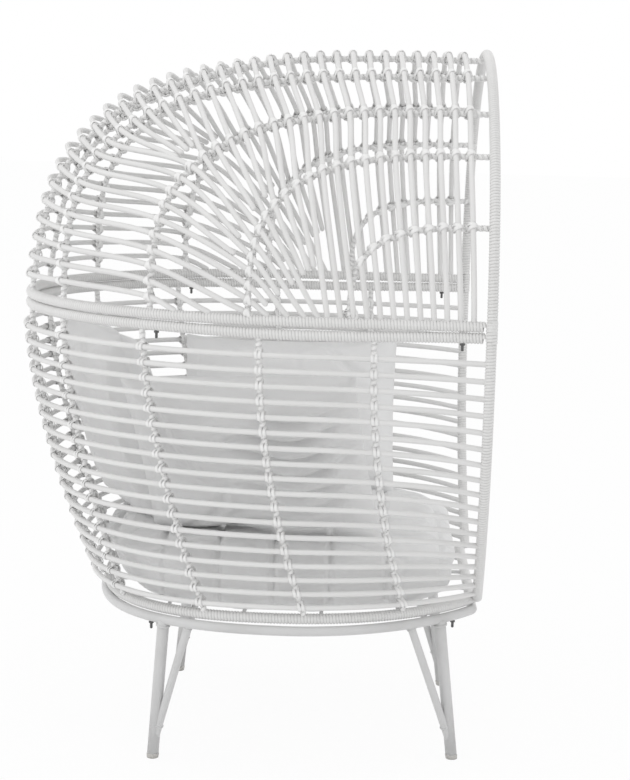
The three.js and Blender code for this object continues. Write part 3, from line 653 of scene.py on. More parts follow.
def wallColumn(along):
    side = 2 - along if along > 1 else along
    top = wallTop.at(side * wallTop.length)
    bottom = wallBottom.at(side * wallBottom.length)
    bow = wall["backBow"] + (wall["frontBow"] - wall["backBow"]) * (1 - side) ** 3
    t = np.linspace(0, 1, wall["samples"])[:, None]
    points = np.hstack([mix(top[:2], bottom[:2], t**bow), mix(top[2], bottom[2], t)])
    return Line(mirrored(points) if along > 1 else points)


def wallPoint(along, down):
    column = wallColumn(along)
    return column.at(down * column.length)


def wallFrame(along, down, step=0.01):
    column = wallColumn(along)
    p = column.at(down * column.length)
    across = unit(wallPoint(min(2, along + step), down) - wallPoint(max(0, along - step), down))
    ahead = column.at(min(1, down + step) * column.length)
    downward = unit(ahead - column.at(max(0, down - step) * column.length))
    return p, across, downward, unit(np.cross(downward, across))


rows = {"count": 18, "firstDrop": 0.046, "lastLift": 0.029, "postSlant": 0.0106}
wallLength = wallColumn(1).length


def rowDown(row):
    t = row / (rows["count"] - 1)
    return mix(rows["firstDrop"], wallLength - rows["lastLift"], t) / wallLength


def rowPath(row):
    start = (rows["postSlant"] * (row / rows["count"]) ** 2) / wallTop.length
    spans = round(2 * wallTop.length / canes["spacing"])
    return np.array([wallPoint(a, rowDown(row)) for a in np.linspace(start, 2 - start, spans)])


basketRibs = {
    "topShares": (0.18, 0.36, 0.56, 0.745, 0.897),
    "footShares": (0.18, 0.36, 0.53, 0.72, 0.89),
    "first": 0.012,
    "last": 0.99,
}


def basketRibPath(topAlong, footAlong):
    spans = round(wallLength / ribs["spacing"])
    found = []
    for down in np.linspace(basketRibs["first"], basketRibs["last"], spans):
        p, _, _, inward = wallFrame(mix(topAlong, footAlong, down), down)
        found.append(p + inward * ribs["inset"])
    return np.array(found)


# The hood's surface: its half width at a place is that of the rim, and its height that of the spine
hood = {
    "spineXShares": (
        -1, -0.984, -0.968, -0.942, -0.904, -0.824, -0.717, -0.609,
        -0.467, -0.321, -0.116, 0.095, 0.326, 0.627, 1.01,
    ),
    "spineZShares": (
        0, 0.059, 0.127, 0.28, 0.442, 0.593, 0.706, 0.793,
        0.863, 0.907, 0.948, 0.978, 0.993, 1, 1,
    ),
    "ribFootShares": (0.718, 0.516, 0.3154, 0.1207),  # along the seam, from its back to its front
    "ribRiseShares": (0.368, 0.632, 0.792, 0.932),
    "ribRound": 3.25,
    "ribFootRise": rim["thickness"] / 3,
    "archDrop": 0.010,  # from the chair's height to the middle of the arch
    "archOutset": 0.001,
    "cadRibInset": 0.0153,
    "backRibY": 0.129,  # the fifth pair of ribs runs up the back and draws together over the crown
    "crownRibY": 0.045,
    "backRibBend": (0.42, 0.72),  # shares of the spine
}
# The hoops stand evenly apart on the spine and on each rib, and some of them stop on the way down
hoops = {
    "count": 33,
    "onSpine": {"frontX": 0.434, "pitch": 0.033, "backPitch": 0.0415},
    "onRib4": {"frontX": 0.436, "pitch": 0.0327, "backPitch": 0.0341},
    "onRib3": {"frontX": 0.437, "pitch": 0.0302, "backPitch": 0.0306},
    "onRib2": {"frontX": 0.438, "pitch": 0.0303, "backPitch": 0.027},
    "stopBeforeRib3": (19, 20, 21, 22),
    "stopBeforeRib2": (15, 17, 24, 26),
    "stopBeforeRim": (12, 13, 14, 18, 25, 28),
    "stopShares": {"onRib3": 0.75, "onRib2": 0.8, "onRim": 0.6},  # of the way to the next place
    "lastOnRib2": 29,
    "frontFeet": {"x": 0.450, "pitch": 0.026, "count": 12},
    "rearFootShares": (0.655, 0.628, 0.594, 0.554, 0.523, 0.437, 0.366),
    "groups": {"front": (0, 10), "crown": (11, 22), "back": (23, 32)},
    "footBend": 0.05,  # over this height the feet draw in to the middle of the rim
    "crossingReach": 0.02,
}
archHeight = chair["height"] - hood["archDrop"] - hoodRimZ
spineHeight = archHeight - hood["archOutset"]


def spineFrom(inset):
    points = []
    for xShare, zShare in zip(hood["spineXShares"], hood["spineZShares"]):
        x = -xShare * shell["backX"] if xShare < 0 else xShare * chair["frontX"]
        points.append((x, 0, zShare * spineHeight))
    path = smoothLine(points)
    t = tangentsOf(path)
    return path + inset * np.stack([t[:, 2], 0 * t[:, 0], -t[:, 0]], axis=-1)


spine = Line(spineFrom(0))
insetSpines = {}


def hoodPoint(x, rise, inset=0.0):
    if inset not in insetSpines:
        insetSpines[inset] = spineFrom(inset)
    outline = insetSpines[inset]
    top = np.interp(x, outline[:, 0], outline[:, 2])
    share = min(1, rise / top)
    behind = max(0, (chair["seamBendX"] - x) / (chair["seamBendX"] - shell["backX"] - inset))
    half = (shell["halfWidth"] - inset) * math.sqrt(max(0, 1 - behind * behind))
    return np.array([x, -half * math.sqrt(1 - share * share), hoodRimZ + rise])


def seamX(share):
    return mix(shell["backX"], chair["frontX"], share)


# A side rib in side view, x against its rise over the rim
def hoodRibLine(i):
    endX = chair["frontX"] + ribs["core"] / 2
    foot = hood["ribFootRise"]
    rise = hood["ribRiseShares"][i] * (spineHeight - hood["cadRibInset"])
    turns = np.linspace(0, math.pi / 2, 90)
    power = 2 / hood["ribRound"]
    x = endX - (endX - seamX(hood["ribFootShares"][i])) * np.maximum(0, np.cos(turns)) ** power
    return np.stack([x, 0 * x, foot + (rise - foot) * np.sin(turns) ** power], axis=-1)


# The place of a hoop on such a line, counted from the front
def placeOn(line, rule, rank, count):
    growth = (rule["backPitch"] - rule["pitch"]) / (count - 2)
    along = rank * rule["pitch"] + growth * rank * (rank - 1) / 2
    front = np.interp(rule["frontX"], line.points[:, 0], line.lengths)
    return line.at(max(0, front - along))


rib4, rib3, rib2 = (Line(hoodRibLine(i)) for i in (3, 2, 1))
atRib3 = [k for k in range(hoops["count"]) if k not in hoops["stopBeforeRib3"]]
atRib2 = [k for k in atRib3 if k not in hoops["stopBeforeRib2"]]
atRim = [k for k in atRib2 if k not in hoops["stopBeforeRim"]]
countedAtRib2 = [k for k in atRib2 if k <= hoops["lastOnRib2"]]


# Where a hoop stands among those of a list; one that isn't in it stands between two of them
def rankIn(kept, k):
    return float(np.interp(k, kept, range(len(kept))))


def hoopFoot(k):
    feet = hoops["frontFeet"]
    xs = [feet["x"] - i * feet["pitch"] for i in range(feet["count"])]
    xs += [seamX(share) for share in hoops["rearFootShares"]]
    x = np.interp(rankIn(atRim, k), range(len(xs)), xs)
    return np.array([x, 0, rim["thickness"] / 2])


# A hoop in side view, from its top down over the ribs, as far as it goes
def hoopLine(k):
    everyHoop = range(hoops["count"])
    levels = [("onRib4", rib4, everyHoop, everyHoop), ("onRib3", rib3, atRib3, atRib3)]
    if k <= hoops["lastOnRib2"]:
        levels.append(("onRib2", rib2, atRib2, countedAtRib2))
    found = [placeOn(spine, hoops["onSpine"], k, hoops["count"])]
    for level, rib, kept, counted in levels:
        place = placeOn(rib, hoops[level], rankIn(counted, k), len(counted))
        if k not in kept:
            return [*found, mix(found[-1], place, hoops["stopShares"][level])]
        found.append(place)
    foot = hoopFoot(k)
    return [*found, foot if k in atRim else mix(found[-1], foot, hoops["stopShares"]["onRim"])]


# Its near side, from the foot up to the spine
def hoopSide(k):
    line = Line(smoothLine(hoopLine(k)[::-1]))
    shares = np.sin(np.linspace(0, math.pi / 2, 60))
    side = np.array([hoodPoint(p[0], p[2]) for p in line.at(shares * line.length)])
    side[-1][1] = 0
    if k in atRim:
        low = np.clip(1 - (side[:, 2] - hoodRimZ - line.points[0][2]) / hoops["footBend"], 0, 1)
        side[:, 1] += low**2 * (shell["halfWidth"] - rim["halfWidth"])
    return side


hoopSides = [hoopSide(k) for k in range(hoops["count"])]


def hoodRibPath(i, inset):
    return np.array([hoodPoint(p[0], p[2], inset) for p in hoodRibLine(i)])


# The place on the hood beside a point of the spine, so far out to the side
def besideSpine(top, inset, y, halvings=24):
    bendX = chair["seamBendX"]
    near, far = 0.0, 1.0
    for _ in range(halvings):
        scale = (near + far) / 2
        x = bendX + (top[0] - bendX) * scale if top[0] < bendX else top[0]
        p = hoodPoint(x, top[2] * scale, inset)
        near, far = (scale, far) if -p[1] > y else (near, scale)
    return p


def backRibPath(inset):
    line = Line(spineFrom(inset))
    low, high = hood["backRibBend"]
    found = []
    for share in np.linspace(0, 1, 120):
        t = np.clip((share - low) / (high - low), 0, 1)
        y = mix(hood["backRibY"], hood["crownRibY"], t * t * (3 - 2 * t))
        p = besideSpine(line.at(share * line.length), inset, y)
        if p[2] > hoodRimZ + hood["ribFootRise"] and p[0] < chair["frontX"]:
            found.append(p)
    return np.array(found)


# The stand
legs = {
    "radius": 0.01225,
    "footHalfWidth": {"back": 0.336, "front": 0.279},
    "footX": {"back": -0.179, "front": 0.451},
    "topX": {"back": -0.154, "front": 0.412},
    "topGap": 0.002,  # under the ring's middle line, with a bevel as high
    "bevel": 0.9,
    "beadDrop": 0.0124,
    "beadSize": 0.006,
    "capHeight": 0.010,
    # Heights, and shares of the radius
    "capShape": ((0, 0.9), (0.001, 1.0), (0.009, 1.07), (0.010, 1.05), (0.011, 0.98)),
}
braces = {
    "thickness": 0.0165,
    "topX": {"back": -0.101, "front": 0.350},
    "footHeight": 0.034,
    "spacing": 0.05,
    "endGap": 0.004,
    "beadsIn": (0.011, 0.04655),  # from the top and from the foot
    "beadSizes": (0.005, 0.004),
}
sideNames = {-1: "right", 1: "left"}
corners = [(end, side, f"{end}_{sideNames[side]}") for end in ("back", "front") for side in (-1, 1)]
standOutline = hang(trayOutline(stand), standBoltX, stand["sag"])
standFromCorner = hang(trayOutline(stand, fromCorner=0), standBoltX, stand["sag"])


# Level rings of a tube that may lean, each with its height and its radius
def addRings(strands, foot, lean, profile, sides=28):
    turn = np.arange(sides) / sides * 2 * np.pi
    circle = np.stack([np.cos(turn), np.sin(turn), 0 * turn], axis=-1)
    grid = np.array([foot + lean * height + circle * radius for height, radius in profile])
    strands.addGrid(grid, np.zeros(grid.shape))


beads = {"steps": 40, "sides": 6, "ripple": 0.18, "rippleTurn": 2.4}


# A weld bead: an uneven ring of small ripples where one tube meets another
def addBead(strands, centre, axis, radius, size, seed):
    axis = unit(axis)
    side = unit(np.cross(axis, up + 0.3 * forward))
    steps = np.arange(beads["steps"])
    turn = steps[:, None] / beads["steps"] * 2 * math.pi
    path = centre + radius * (np.cos(turn) * side + np.sin(turn) * np.cross(axis, side))
    ripple = size * (1 + beads["ripple"] * np.sin(steps * beads["rippleTurn"] + seed))
    strands.add(path, ripple, size, sides=beads["sides"], closed=True, reference=axis)


def makeStand():
    ring = Strands(1)
    ring.add(bothSides(standOutline)[:-1], stand["thickness"], sides=24, reference=up, closed=True)
    ring.build("standRing", paint, "stand_ring")
    for end, side, name in corners:
        radius, gap = legs["radius"], legs["topGap"]
        foot = np.array([legs["footX"][end], side * legs["footHalfWidth"][end], 0])
        top = besideOutline(standFromCorner, legs["topX"][end], side)
        lean = (top - foot) / top[2]
        leg = Strands(2)
        profile = [(legs["capHeight"], radius), (top[2] - 2 * gap, radius)]
        addRings(leg, foot, lean, [*profile, (top[2] - gap, radius * legs["bevel"])])
        addBead(leg, top - lean * legs["beadDrop"], lean, radius, legs["beadSize"], side + len(end))
        leg.build(f"leg_{name}_tube", paint, f"leg_{name}")

        low = foot + lean * braces["footHeight"]
        high = besideOutline(standFromCorner, braces["topX"][end], side)
        along = unit(high - low)
        brace = Strands(3)
        line = Line([low + along * braces["endGap"], high - along * braces["endGap"]])
        brace.add(line.spaced(braces["spacing"]), braces["thickness"], sides=22)
        beadsAt = (high - along * braces["beadsIn"][0], low + along * braces["beadsIn"][1])
        for seed, (centre, size) in enumerate(zip(beadsAt, braces["beadSizes"]), 1):
            addBead(brace, centre, along, braces["thickness"] / 2, size, seed)
        brace.build(f"brace_{name}_bar", paint, f"brace_{name}")

        cap = Strands(4)
        addRings(cap, foot, lean, [(height, radius * share) for height, share in legs["capShape"]])
        cap.build(f"foot_cap_{name}_shell", capPlastic, f"foot_cap_{name}")
    print("stand made")


# A nut and the end of its thread, as pairs of height under the rim and radius
bolts = {
    "nut": ((0, 0.0048), (-0.0005, 0.0052), (-0.0035, 0.0052), (-0.004, 0.0047)),
    "nutSides": 6,
    "threadSides": 14,
    "turns": 14,
    "pitch": 0.001,
    "ridge": ((-0.0005, 0.0030), (-0.0010, 0.0025)),
    "tip": ((-0.0145, 0.0024), (-0.0151, 0.0018)),
}


def addBolt(node, x, y, bottom):
    bolt = Strands(5)
    foot = np.array([x, y, bottom])
    addRings(bolt, foot, up, bolts["nut"], bolts["nutSides"])
    drops = [turn * bolts["pitch"] for turn in range(bolts["turns"])]
    thread = [(height - drop, radius) for drop in drops for height, radius in bolts["ridge"]]
    addRings(bolt, foot, up, [*thread, *bolts["tip"]], bolts["threadSides"])
    bolt.build(f"{node}_thread", boltSteel, node)


def makeBolts():
    seam = seamOutline(rim, chair["frontX"], basketRimZ)
    for unitName, boltX, outline, thickness in (
        ("seam", seamBoltX, seam, rim["thickness"]),
        ("stand", standBoltX, standFromCorner, stand["thickness"]),
    ):
        for end, side, name in corners:
            x, y, z = besideOutline(outline, boltX[end], side)
            addBolt(f"{unitName}_bolt_{name}", x, y, z - thickness / 2)
    print("bolts made")


# One piece of wound lines, each with its thickness
def windPiece(name, node, seed, lines, reference, closed=False):
    wound = Strands(seed)
    for points, thickness in lines:
        wound.addWound(Line(points), thickness, reference, closed)
    wound.build(name, wicker, node)


def makeRims():
    upper = hang(seamOutline(rim, rimStartX, basketRimZ), seamBoltX, rim["sag"])
    hoodRim = seamOutline(rim, rimStartX, hoodRimZ)
    windPiece("basketUpperRim", "basket_upper_rim", 11, [(bothSides(upper), rim["thickness"])], up)
    windPiece("hoodRim", "hood_rim", 11, [(bothSides(hoodRim), rim["thickness"])], up)
    lower = [(bothSides(trayOutline(tray)), rim["thickness"])]
    windPiece("basketLowerRim", "basket_lower_rim", 12, lower, up, closed=True)
    feet = [(archFoot(side), posts["thickness"] + strand["crown"]) for side in sideNames]
    windPiece("hoodArch", "hood_arch", 13, [(archPath(), posts["thickness"]), *feet], forward)
    for side, sideName in sideNames.items():
        post = [(postPath(side), posts["thickness"])]
        windPiece(f"frontPost_{sideName}", f"front_post_{sideName}", 14, post, forward)
    print("rims wound")


def archPath():
    half = shell["halfWidth"] + hood["archOutset"]
    low = chair["seamHeight"] + chair["gap"] / 2
    turns = np.linspace(0, math.pi, 120)
    points = [(-half * math.cos(a), hoodRimZ + archHeight * math.sin(a)) for a in turns]
    return np.array([(chair["frontX"], y, z) for y, z in [(-half, low), *points, (half, low)]])


# A few turns more where the arch stands on a post
def archFoot(side):
    y = side * (shell["halfWidth"] + hood["archOutset"])
    heights = np.linspace(-1, 1, 12) * rim["thickness"] + chair["seamHeight"]
    return [(chair["frontX"], y, z) for z in heights]


def postPath(side):
    places = [wallFrame(0, down) for down in np.linspace(0, posts["foot"], 60)]
    points = [p - inward * hood["archOutset"] for p, _, _, inward in places]
    top = (points[0][0], points[0][1], chair["seamHeight"] - chair["gap"] / 2)
    points = np.array([top, *points])
    return points if side < 0 else mirrored(points)


# One piece of canes laid side by side
def layCanes(name, node, seed, paths, reference=None):
    laid = Strands(seed)
    for path in paths:
        laid.add(path, canes["thickness"], sides=canes["sides"], reference=reference)
    laid.build(name, cane, node)


def makeCanes():
    bands = ("upper", "middle", "lower")
    perBand = rows["count"] // len(bands)
    for i, band in enumerate(bands):
        paths = [rowPath(row) for row in range(i * perBand, (i + 1) * perBand)]
        layCanes(f"basketCanes_{band}", f"basket_canes_{band}", 20 + i, paths, up)
    for name, (first, last) in hoops["groups"].items():
        paths = [Line(bothSides(side)).spaced(canes["spacing"]) for side in hoopSides[first : last + 1]]
        layCanes(f"hoodHoops_{name}", f"hood_hoops_{name}", 30 + first, paths)
    print("canes laid")


whipping = {"wide": 0.0088, "thick": 0.0018, "pitch": 0.0115, "steps": 10, "sides": 6, "lift": 0.3}


# An open winding along a rib
def addWhipping(strands, line, radius, handed):
    turns = max(1, round(line.length / whipping["pitch"]))
    steps = turns * whipping["steps"]
    path = line.at(np.linspace(0, line.length, steps + 1))
    tangents = tangentsOf(path)
    n, b = framesOf(path, tangents)
    turn = np.linspace(0, turns * 2 * np.pi * handed, steps + 1)[:, None]
    path = path + (np.cos(turn) * n + np.sin(turn) * b) * radius
    wide, thick, sides = whipping["wide"], whipping["thick"], whipping["sides"]
    strands.add(path, wide, thick, sides, reference=tangents, rounded=False)


# Two strands tie a crossing. Its centre is where the bars touch, and out points to the outer bar
def addCross(strands, crossing, outerRadius, innerRadius, tie):
    centre, outerDir, innerDir, out = crossing
    for sign in (-1, 1):
        slant = math.radians(90 + sign * tie["slantDegrees"])
        place = centre + outerDir * sign * tie["apart"]
        strands.addTie(place, outerDir, innerDir, out, outerRadius, innerRadius, slant, tie)


def lashRib(name, path, crossings, tie, seed):
    coreRadius = ribs["core"] / 2
    rib = Strands(seed)
    line = Line(path)
    rib.add(line.spaced(ribs["spacing"]), ribs["core"])
    lifted = coreRadius + whipping["thick"] * whipping["lift"]
    addWhipping(rib, line, lifted, 1 if "right" in name else -1)
    for crossing in crossings:
        addCross(rib, crossing, canes["thickness"] / 2, coreRadius + whipping["thick"], tie)
    rib.build(f"{name}_lashed", lashing, name)


def makeBasketRibs():
    for i, (top, foot) in enumerate(zip(basketRibs["topShares"], basketRibs["footShares"])):
        for side, sideName in sideNames.items():
            along = (top, foot) if side < 0 else (2 - top, 2 - foot)
            crossings = []
            for row in range(rows["count"]):
                down = rowDown(row)
                p, across, downward, inward = wallFrame(mix(*along, down), down)
                crossings.append((p + inward * canes["thickness"] / 2, across, downward, -inward))
            lashRib(f"basket_rib_{sideName}_{i + 1}", basketRibPath(*along), crossings, basketTie, 40 + i)
    print("basket ribs lashed")


# Where a rib of the near side passes under each hoop
def hoodCrossings(path):
    found = []
    rib = Line(path).spaced(ribs["fine"])
    ribDirs = tangentsOf(rib)
    for side in hoopSides:
        hoop = Line(side).spaced(ribs["fine"])
        apart = np.linalg.norm(rib[:, None] - hoop[None], axis=-1)
        i, j = np.unravel_index(np.argmin(apart), apart.shape)
        if apart[i, j] < hoops["crossingReach"]:
            out = unit(hoop[j] - rib[i])
            centre = rib[i] + out * (apart[i, j] + (ribs["core"] - canes["thickness"]) / 2) / 2
            found.append((centre, tangentsOf(hoop)[j], ribDirs[i], out))
    return found


def makeHoodRibs():
    paths = [hoodRibPath(i, ribs["inset"]) for i in range(len(hood["ribFootShares"]))]
    paths.append(backRibPath(ribs["inset"]))
    for i, path in enumerate(paths):
        crossings = hoodCrossings(path)
        lashRib(f"hood_rib_right_{i + 1}", path, crossings, hoodTie, 60 + i)
        crossings = [[mirrored(v) for v in crossing] for crossing in crossings]
        lashRib(f"hood_rib_left_{i + 1}", mirrored(path), crossings, hoodTie, 60 + i)
    print("hood ribs lashed")


# The seat floor
lattice = {"thickness": 0.008, "drop": 0.010, "across": 4, "along": 5, "spacing": 0.04, "nearby": 0.02}


def makeLattice():
    bars = Strands(80)
    z = trayZ + rim["thickness"] / 2 - lattice["drop"]
    inset = rim["thickness"] / 2
    outline, fromCorner = trayOutline(tray), trayOutline(tray, fromCorner=0)
    ends = []
    for i in range(1, lattice["across"] + 1):
        x = mix(tray["backX"], tray["frontX"], i / (lattice["across"] + 1))
        y = besideOutline(fromCorner, x, 1)[1] - inset
        ends.append([(x, -y, z), (x, y, z)])
    for i in range(1, lattice["along"] + 1):
        y = mix(-tray["halfWidth"], tray["halfWidth"], i / (lattice["along"] + 1))
        near = outline[np.abs(outline[:, 1] + abs(y)) < lattice["nearby"], 0]
        ends.append([(near.min() + inset, y, z), (near.max() - inset, y, z)])
    for bar in ends:
        bars.add(Line(bar).spaced(lattice["spacing"]), lattice["thickness"], sides=10, reference=up)
    bars.build("seatLattice", paint, "seat_lattice")
    print("seat floor made")


makeStand()
makeBolts()
makeRims()
makeCanes()
makeBasketRibs()
makeHoodRibs()
makeLattice()

# Cushions: each cover is blown up a little, so that it wrinkles at its seams, and then gets its folds
cloths = {
    "frames": 20,
    "furthest": 0.016,  # how far a cover may move
    "settings": {
        "quality": 5,
        "mass": 0.25,
        "tension_stiffness": 15.0,
        "compression_stiffness": 15.0,
        "shear_stiffness": 15.0,
        "bending_stiffness": 0.3,
        "use_pressure": True,
        "uniform_pressure_force": 3.0,
    },
}
# At the start a pillow has less than its full thickness, and it is drawn in between its corners
pillowForm = {"cells": 48, "drawnIn": 0.02, "edge": 0.03, "rise": 0.72, "thinCorners": 0.14}
# A fold has its place as shares of the half sizes, its direction in degrees, its reach and its depth
pillows = {
    "back_pillow": {
        "width": 0.450, "height": 0.434, "thickness": 0.140, "fill": 0.6, "seed": 3,
        "place": (-0.292, 0, 0.671), "lean": 16, "turn": 110, "roll": 0,
        "folds": ((-0.3, 0.5, 30, 0.10, 0.010), (0.4, -0.5, -40, 0.12, 0.010), (0.1, 0.1, 75, 0.14, 0.006)),
    },
    "left_pillow": {
        "width": 0.505, "height": 0.390, "thickness": 0.145, "fill": 0.6, "seed": 4,
        "place": (0.070, 0.337, 0.6336), "lean": 27.7, "turn": 0, "roll": 0,
        "folds": ((0.5, 0.6, -35, 0.12, 0.010), (-0.6, -0.3, 20, 0.10, 0.008), (0.0, 0.3, 80, 0.12, 0.006)),
    },
    "right_pillow": {
        "width": 0.490, "height": 0.390, "thickness": 0.145, "fill": 0.6, "seed": 5,
        "place": (0.014, -0.328, 0.6555), "lean": 27.7, "turn": 171, "roll": -5,
        "folds": (
            (-0.38, 0.62, 4, 0.13, 0.030),
            (-0.42, 0.40, -4, 0.14, 0.034),
            (-0.36, 0.18, 3, 0.14, 0.034),
            (-0.42, -0.04, -3, 0.14, 0.032),
            (-0.36, -0.26, 4, 0.13, 0.028),
            (-0.42, -0.50, -6, 0.12, 0.022),
            (0.55, 0.35, 62, 0.14, 0.012),
            (0.40, -0.55, -48, 0.12, 0.010),
        ),
    },
}
creases = {"width": 0.011, "ridge": 0.45, "ridgeWidth": 0.0242, "sway": 0.012, "swayTurns": 30}
quilt = {
    "fill": 0.8, "spacing": 0.115, "width": 0.0055, "depth": 0.011, "fadeHeight": 0.03,
    "cell": 0.008, "smoothing": 6,
}


def halfSizes(shape):
    return np.array([shape["width"], shape["height"], shape["thickness"]]) / 2


# A closed cover of two faces with a narrow edge between them
def pillowMesh(name, shape):
    form, cells = pillowForm, pillowForm["cells"]
    shares = np.linspace(-1, 1, cells + 1)
    s, t = np.meshgrid(shares, shares, indexing="ij")
    x = s * (1 - form["drawnIn"] * (1 - t * t) * s * s)
    y = t * (1 - form["drawnIn"] * (1 - s * s) * t * t)
    full = np.sqrt((1 - s**4) * (1 - t**4)) * (1 - form["thinCorners"] * (s * s + t * t))
    z = form["edge"] + form["rise"] * full
    points = np.vstack([np.stack([x, y, face * z], axis=-1).reshape(-1, 3) for face in (1, -1)])
    faces = []
    row = cells + 1
    other = row**2
    for i in range(cells):
        for j in range(cells):
            a, b = i * row + j, (i + 1) * row + j
            faces.append([a, b, b + 1, a + 1])
            faces.append([other + k for k in (a + 1, b + 1, b, a)])
    last = cells * row
    edge = [*range(0, last, row), *range(last, last + cells)]
    edge += [*range(last + cells, cells, -row), *range(cells, 0, -1)]
    for a, b in zip(edge, edge[1:] + edge[:1]):
        faces.append([b, a, other + a, other + b])
    mesh = bpy.data.meshes.new(name)
    mesh.from_pydata((points * halfSizes(shape)).tolist(), [], faces)
    return mesh


def valuesOf(piece, kind):
    found = np.empty(len(piece.data.vertices) * 3)
    piece.data.vertices.foreach_get(kind, found)
    return found.reshape(-1, 3)


def moveTo(piece, places):
    piece.data.vertices.foreach_set("co", places.ravel())
    piece.data.update()


def addModifier(piece, kind, **settings):
    modifier = piece.modifiers.new(kind, kind)
    setAll(modifier, settings)
    return modifier


def settle(piece):
    seen = piece.evaluated_get(bpy.context.evaluated_depsgraph_get())
    mesh = bpy.data.meshes.new_from_object(seen)
    piece.modifiers.clear()
    piece.data = mesh


def blowUp(piece):
    before = valuesOf(piece, "co")
    cover = addModifier(piece, "CLOTH").settings
    setAll(cover, cloths["settings"])
    cover.effector_weights.gravity = 0
    for frameNumber in range(1, cloths["frames"] + 1):
        bpy.context.scene.frame_set(frameNumber)
    settle(piece)
    bpy.context.scene.frame_set(1)
    moved = valuesOf(piece, "co") - before
    far = np.linalg.norm(moved, axis=1, keepdims=True)
    moveTo(piece, before + moved * np.minimum(1, cloths["furthest"] / np.maximum(far, 1e-9)))


def makeCover(name, mesh):
    mesh.materials.clear()
    mesh.materials.append(cloth)
    mesh.shade_smooth()
    return newObject(f"{name}_cover", mesh)


# Blows a cover up and makes it finer, and gives its points and their lowest and highest corners
def shapeCover(piece):
    blowUp(piece)
    addModifier(piece, "SUBSURF", levels=1)
    settle(piece)
    places = valuesOf(piece, "co")
    return places, places.min(axis=0), places.max(axis=0)


def finishCover(piece, name):
    piece.data.shade_smooth()
    joinFrame(piece, name)


def bell(distance, width):
    return np.exp(-((distance / width) ** 2))


def makePillow(name, shape):
    piece = makeCover(name, pillowMesh(name, shape))
    places, low, high = shapeCover(piece)
    half = halfSizes(shape)
    places = (places - (high + low) / 2) / (high - low) * 2 * half
    moveTo(piece, places)
    normals = valuesOf(piece, "normal")
    for s, t, degrees, reach, depth in shape["folds"]:
        c, d = math.cos(math.radians(degrees)), math.sin(math.radians(degrees))
        x, y = places[:, 0] - s * half[0], places[:, 1] - t * half[1]
        along = x * c + y * d
        sway = creases["sway"] * np.sin(along * creases["swayTurns"] + shape["seed"])
        aside = y * c - x * d - sway
        sunk = bell(aside, creases["width"]) - creases["ridge"] * bell(aside, creases["ridgeWidth"])
        sunk = depth * sunk * bell(along, reach) * normals[:, 2] ** 2
        places = places - normals * sunk[:, None]
    moveTo(piece, places)
    piece.data.transform(
        Matrix.Translation(shape["place"])
        @ Matrix.Rotation(math.radians(shape["turn"]), 4, "Z")
        @ Matrix.Rotation(math.pi / 2 - math.radians(shape["lean"]), 4, "X")
        @ Matrix.Rotation(math.radians(shape["roll"]), 4, "Z")
    )
    finishCover(piece, name)


# The seat's cover is quilted: sewn channels cross it both ways
def makeSeat():
    piece = makeCover("seat_cushion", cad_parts["seat_cushion"].data.copy())
    addModifier(piece, "REMESH", mode="VOXEL", voxel_size=quilt["cell"])
    addModifier(piece, "SMOOTH", iterations=quilt["smoothing"])
    settle(piece)
    places, low, high = shapeCover(piece)
    normals = valuesOf(piece, "normal")
    sunk = np.zeros(len(places))
    for axis in (0, 1):
        off = (places[:, axis] - (high + low)[axis] / 2) / quilt["spacing"]
        off = (off - np.round(off)) * quilt["spacing"]
        sunk = np.maximum(sunk, bell(off, quilt["width"]) * (1 - np.abs(normals[:, axis])))
    sunk *= quilt["depth"] * np.clip((places[:, 2] - low[2]) / quilt["fadeHeight"], 0, 1)
    moveTo(piece, places - normals * sunk[:, None])
    finishCover(piece, "seat_cushion")


for pillowName, pillowShape in pillows.items():
    makePillow(pillowName, pillowShape)
makeSeat()
print("cushions made")

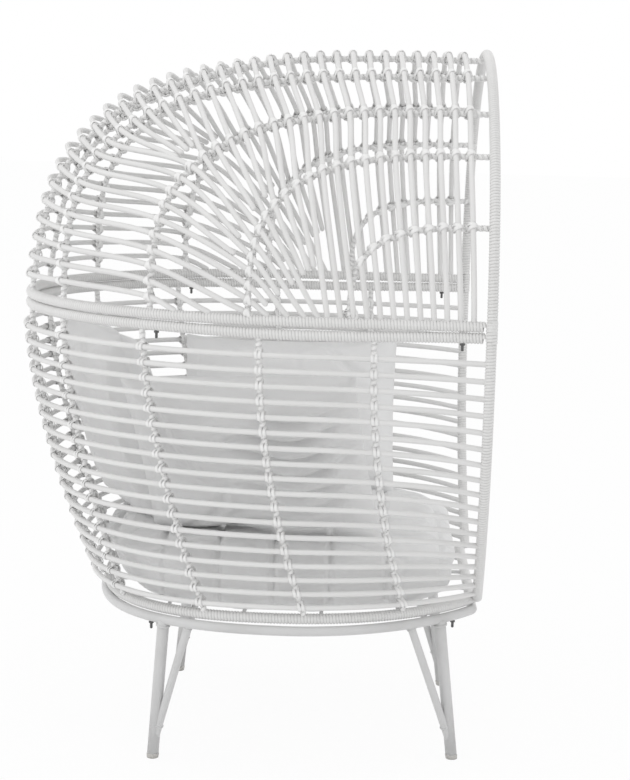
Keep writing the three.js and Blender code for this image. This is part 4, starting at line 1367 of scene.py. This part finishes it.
# The room: a pale floor, a white backdrop by its colour, and soft lamps
room = {
    "floorSize": 60.0,
    "floorColor": grey(0.95),
    "whiteShare": 0.93,
    "worldLevel": 0.89,
    "white": (1, 1, 1, 1),
    "lamps": (
        {"name": "ceiling", "place": (0.3, -0.6, 3.6), "aim": (0, 0, 0.7), "size": 2.6, "power": 5.5},
        {"name": "front", "place": (2.2, -3.6, 2.4), "aim": (0, 0, 0.8), "size": 1.8, "power": 0.5},
        {"name": "rear", "place": (-2.6, -1.8, 2.2), "aim": (0, 0, 0.9), "size": 2.4, "power": 14},
    ),
}


# 1 where the backdrop itself is seen, 0 where it only lights the chair
def seenItself(nodes):
    kinds = ("Is Camera Ray", "Is Glossy Ray", "Is Transmission Ray")
    direct, glossy, through = (nodes.node("ShaderNodeLightPath", out=kind) for kind in kinds)
    settings = {"operation": "ADD", "use_clamp": True}
    return nodes.node("ShaderNodeMath", settings, {0: direct + glossy, 1: through})


def makeBackdrop():
    world = bpy.data.worlds.new("studio")
    world.use_nodes = True
    bpy.context.scene.world = world
    sky = Nodes(world.node_tree)
    background = sky.tree.nodes["Background"]
    level = sky.node("ShaderNodeMapRange", {}, {0: seenItself(sky), 3: room["worldLevel"], 4: 1.0})
    background.inputs[0].default_value = room["white"]
    sky.tree.links.new(level.socket, background.inputs[1])


def makeFloor():
    half = room["floorSize"] / 2
    places = [(x * half, y * half, 0) for x, y in ((-1, -1), (1, -1), (1, 1), (-1, 1))]
    mesh = bpy.data.meshes.new("floor")
    mesh.from_pydata(places, [], [(0, 1, 2, 3)])
    material = bpy.data.materials.new("floor")
    material.use_nodes = True
    ground = Nodes(material.node_tree)
    ground.tree.nodes.clear()
    diffuse = ground.node("ShaderNodeBsdfDiffuse", {}, {0: room["floorColor"]})
    white = ground.node("ShaderNodeEmission", {}, {0: room["white"]})
    share = seenItself(ground) * room["whiteShare"]
    both = ground.node("ShaderNodeMixShader", {}, {0: share, 1: diffuse, 2: white})
    ground.node("ShaderNodeOutputMaterial", {}, {0: both})
    mesh.materials.append(material)
    newObject("floor", mesh)


def makeLamp(lamp):
    data = bpy.data.lights.new(lamp["name"], "AREA")
    data.size = lamp["size"]
    data.energy = lamp["power"]
    aim = Vector(lamp["aim"]) - Vector(lamp["place"])
    turn = aim.to_track_quat("-Z", "Y").to_matrix().to_4x4()
    newObject(lamp["name"], data).matrix_world = Matrix.Translation(lamp["place"]) @ turn


makeBackdrop()
makeFloor()
for roomLamp in room["lamps"]:
    makeLamp(roomLamp)
print("room lit")
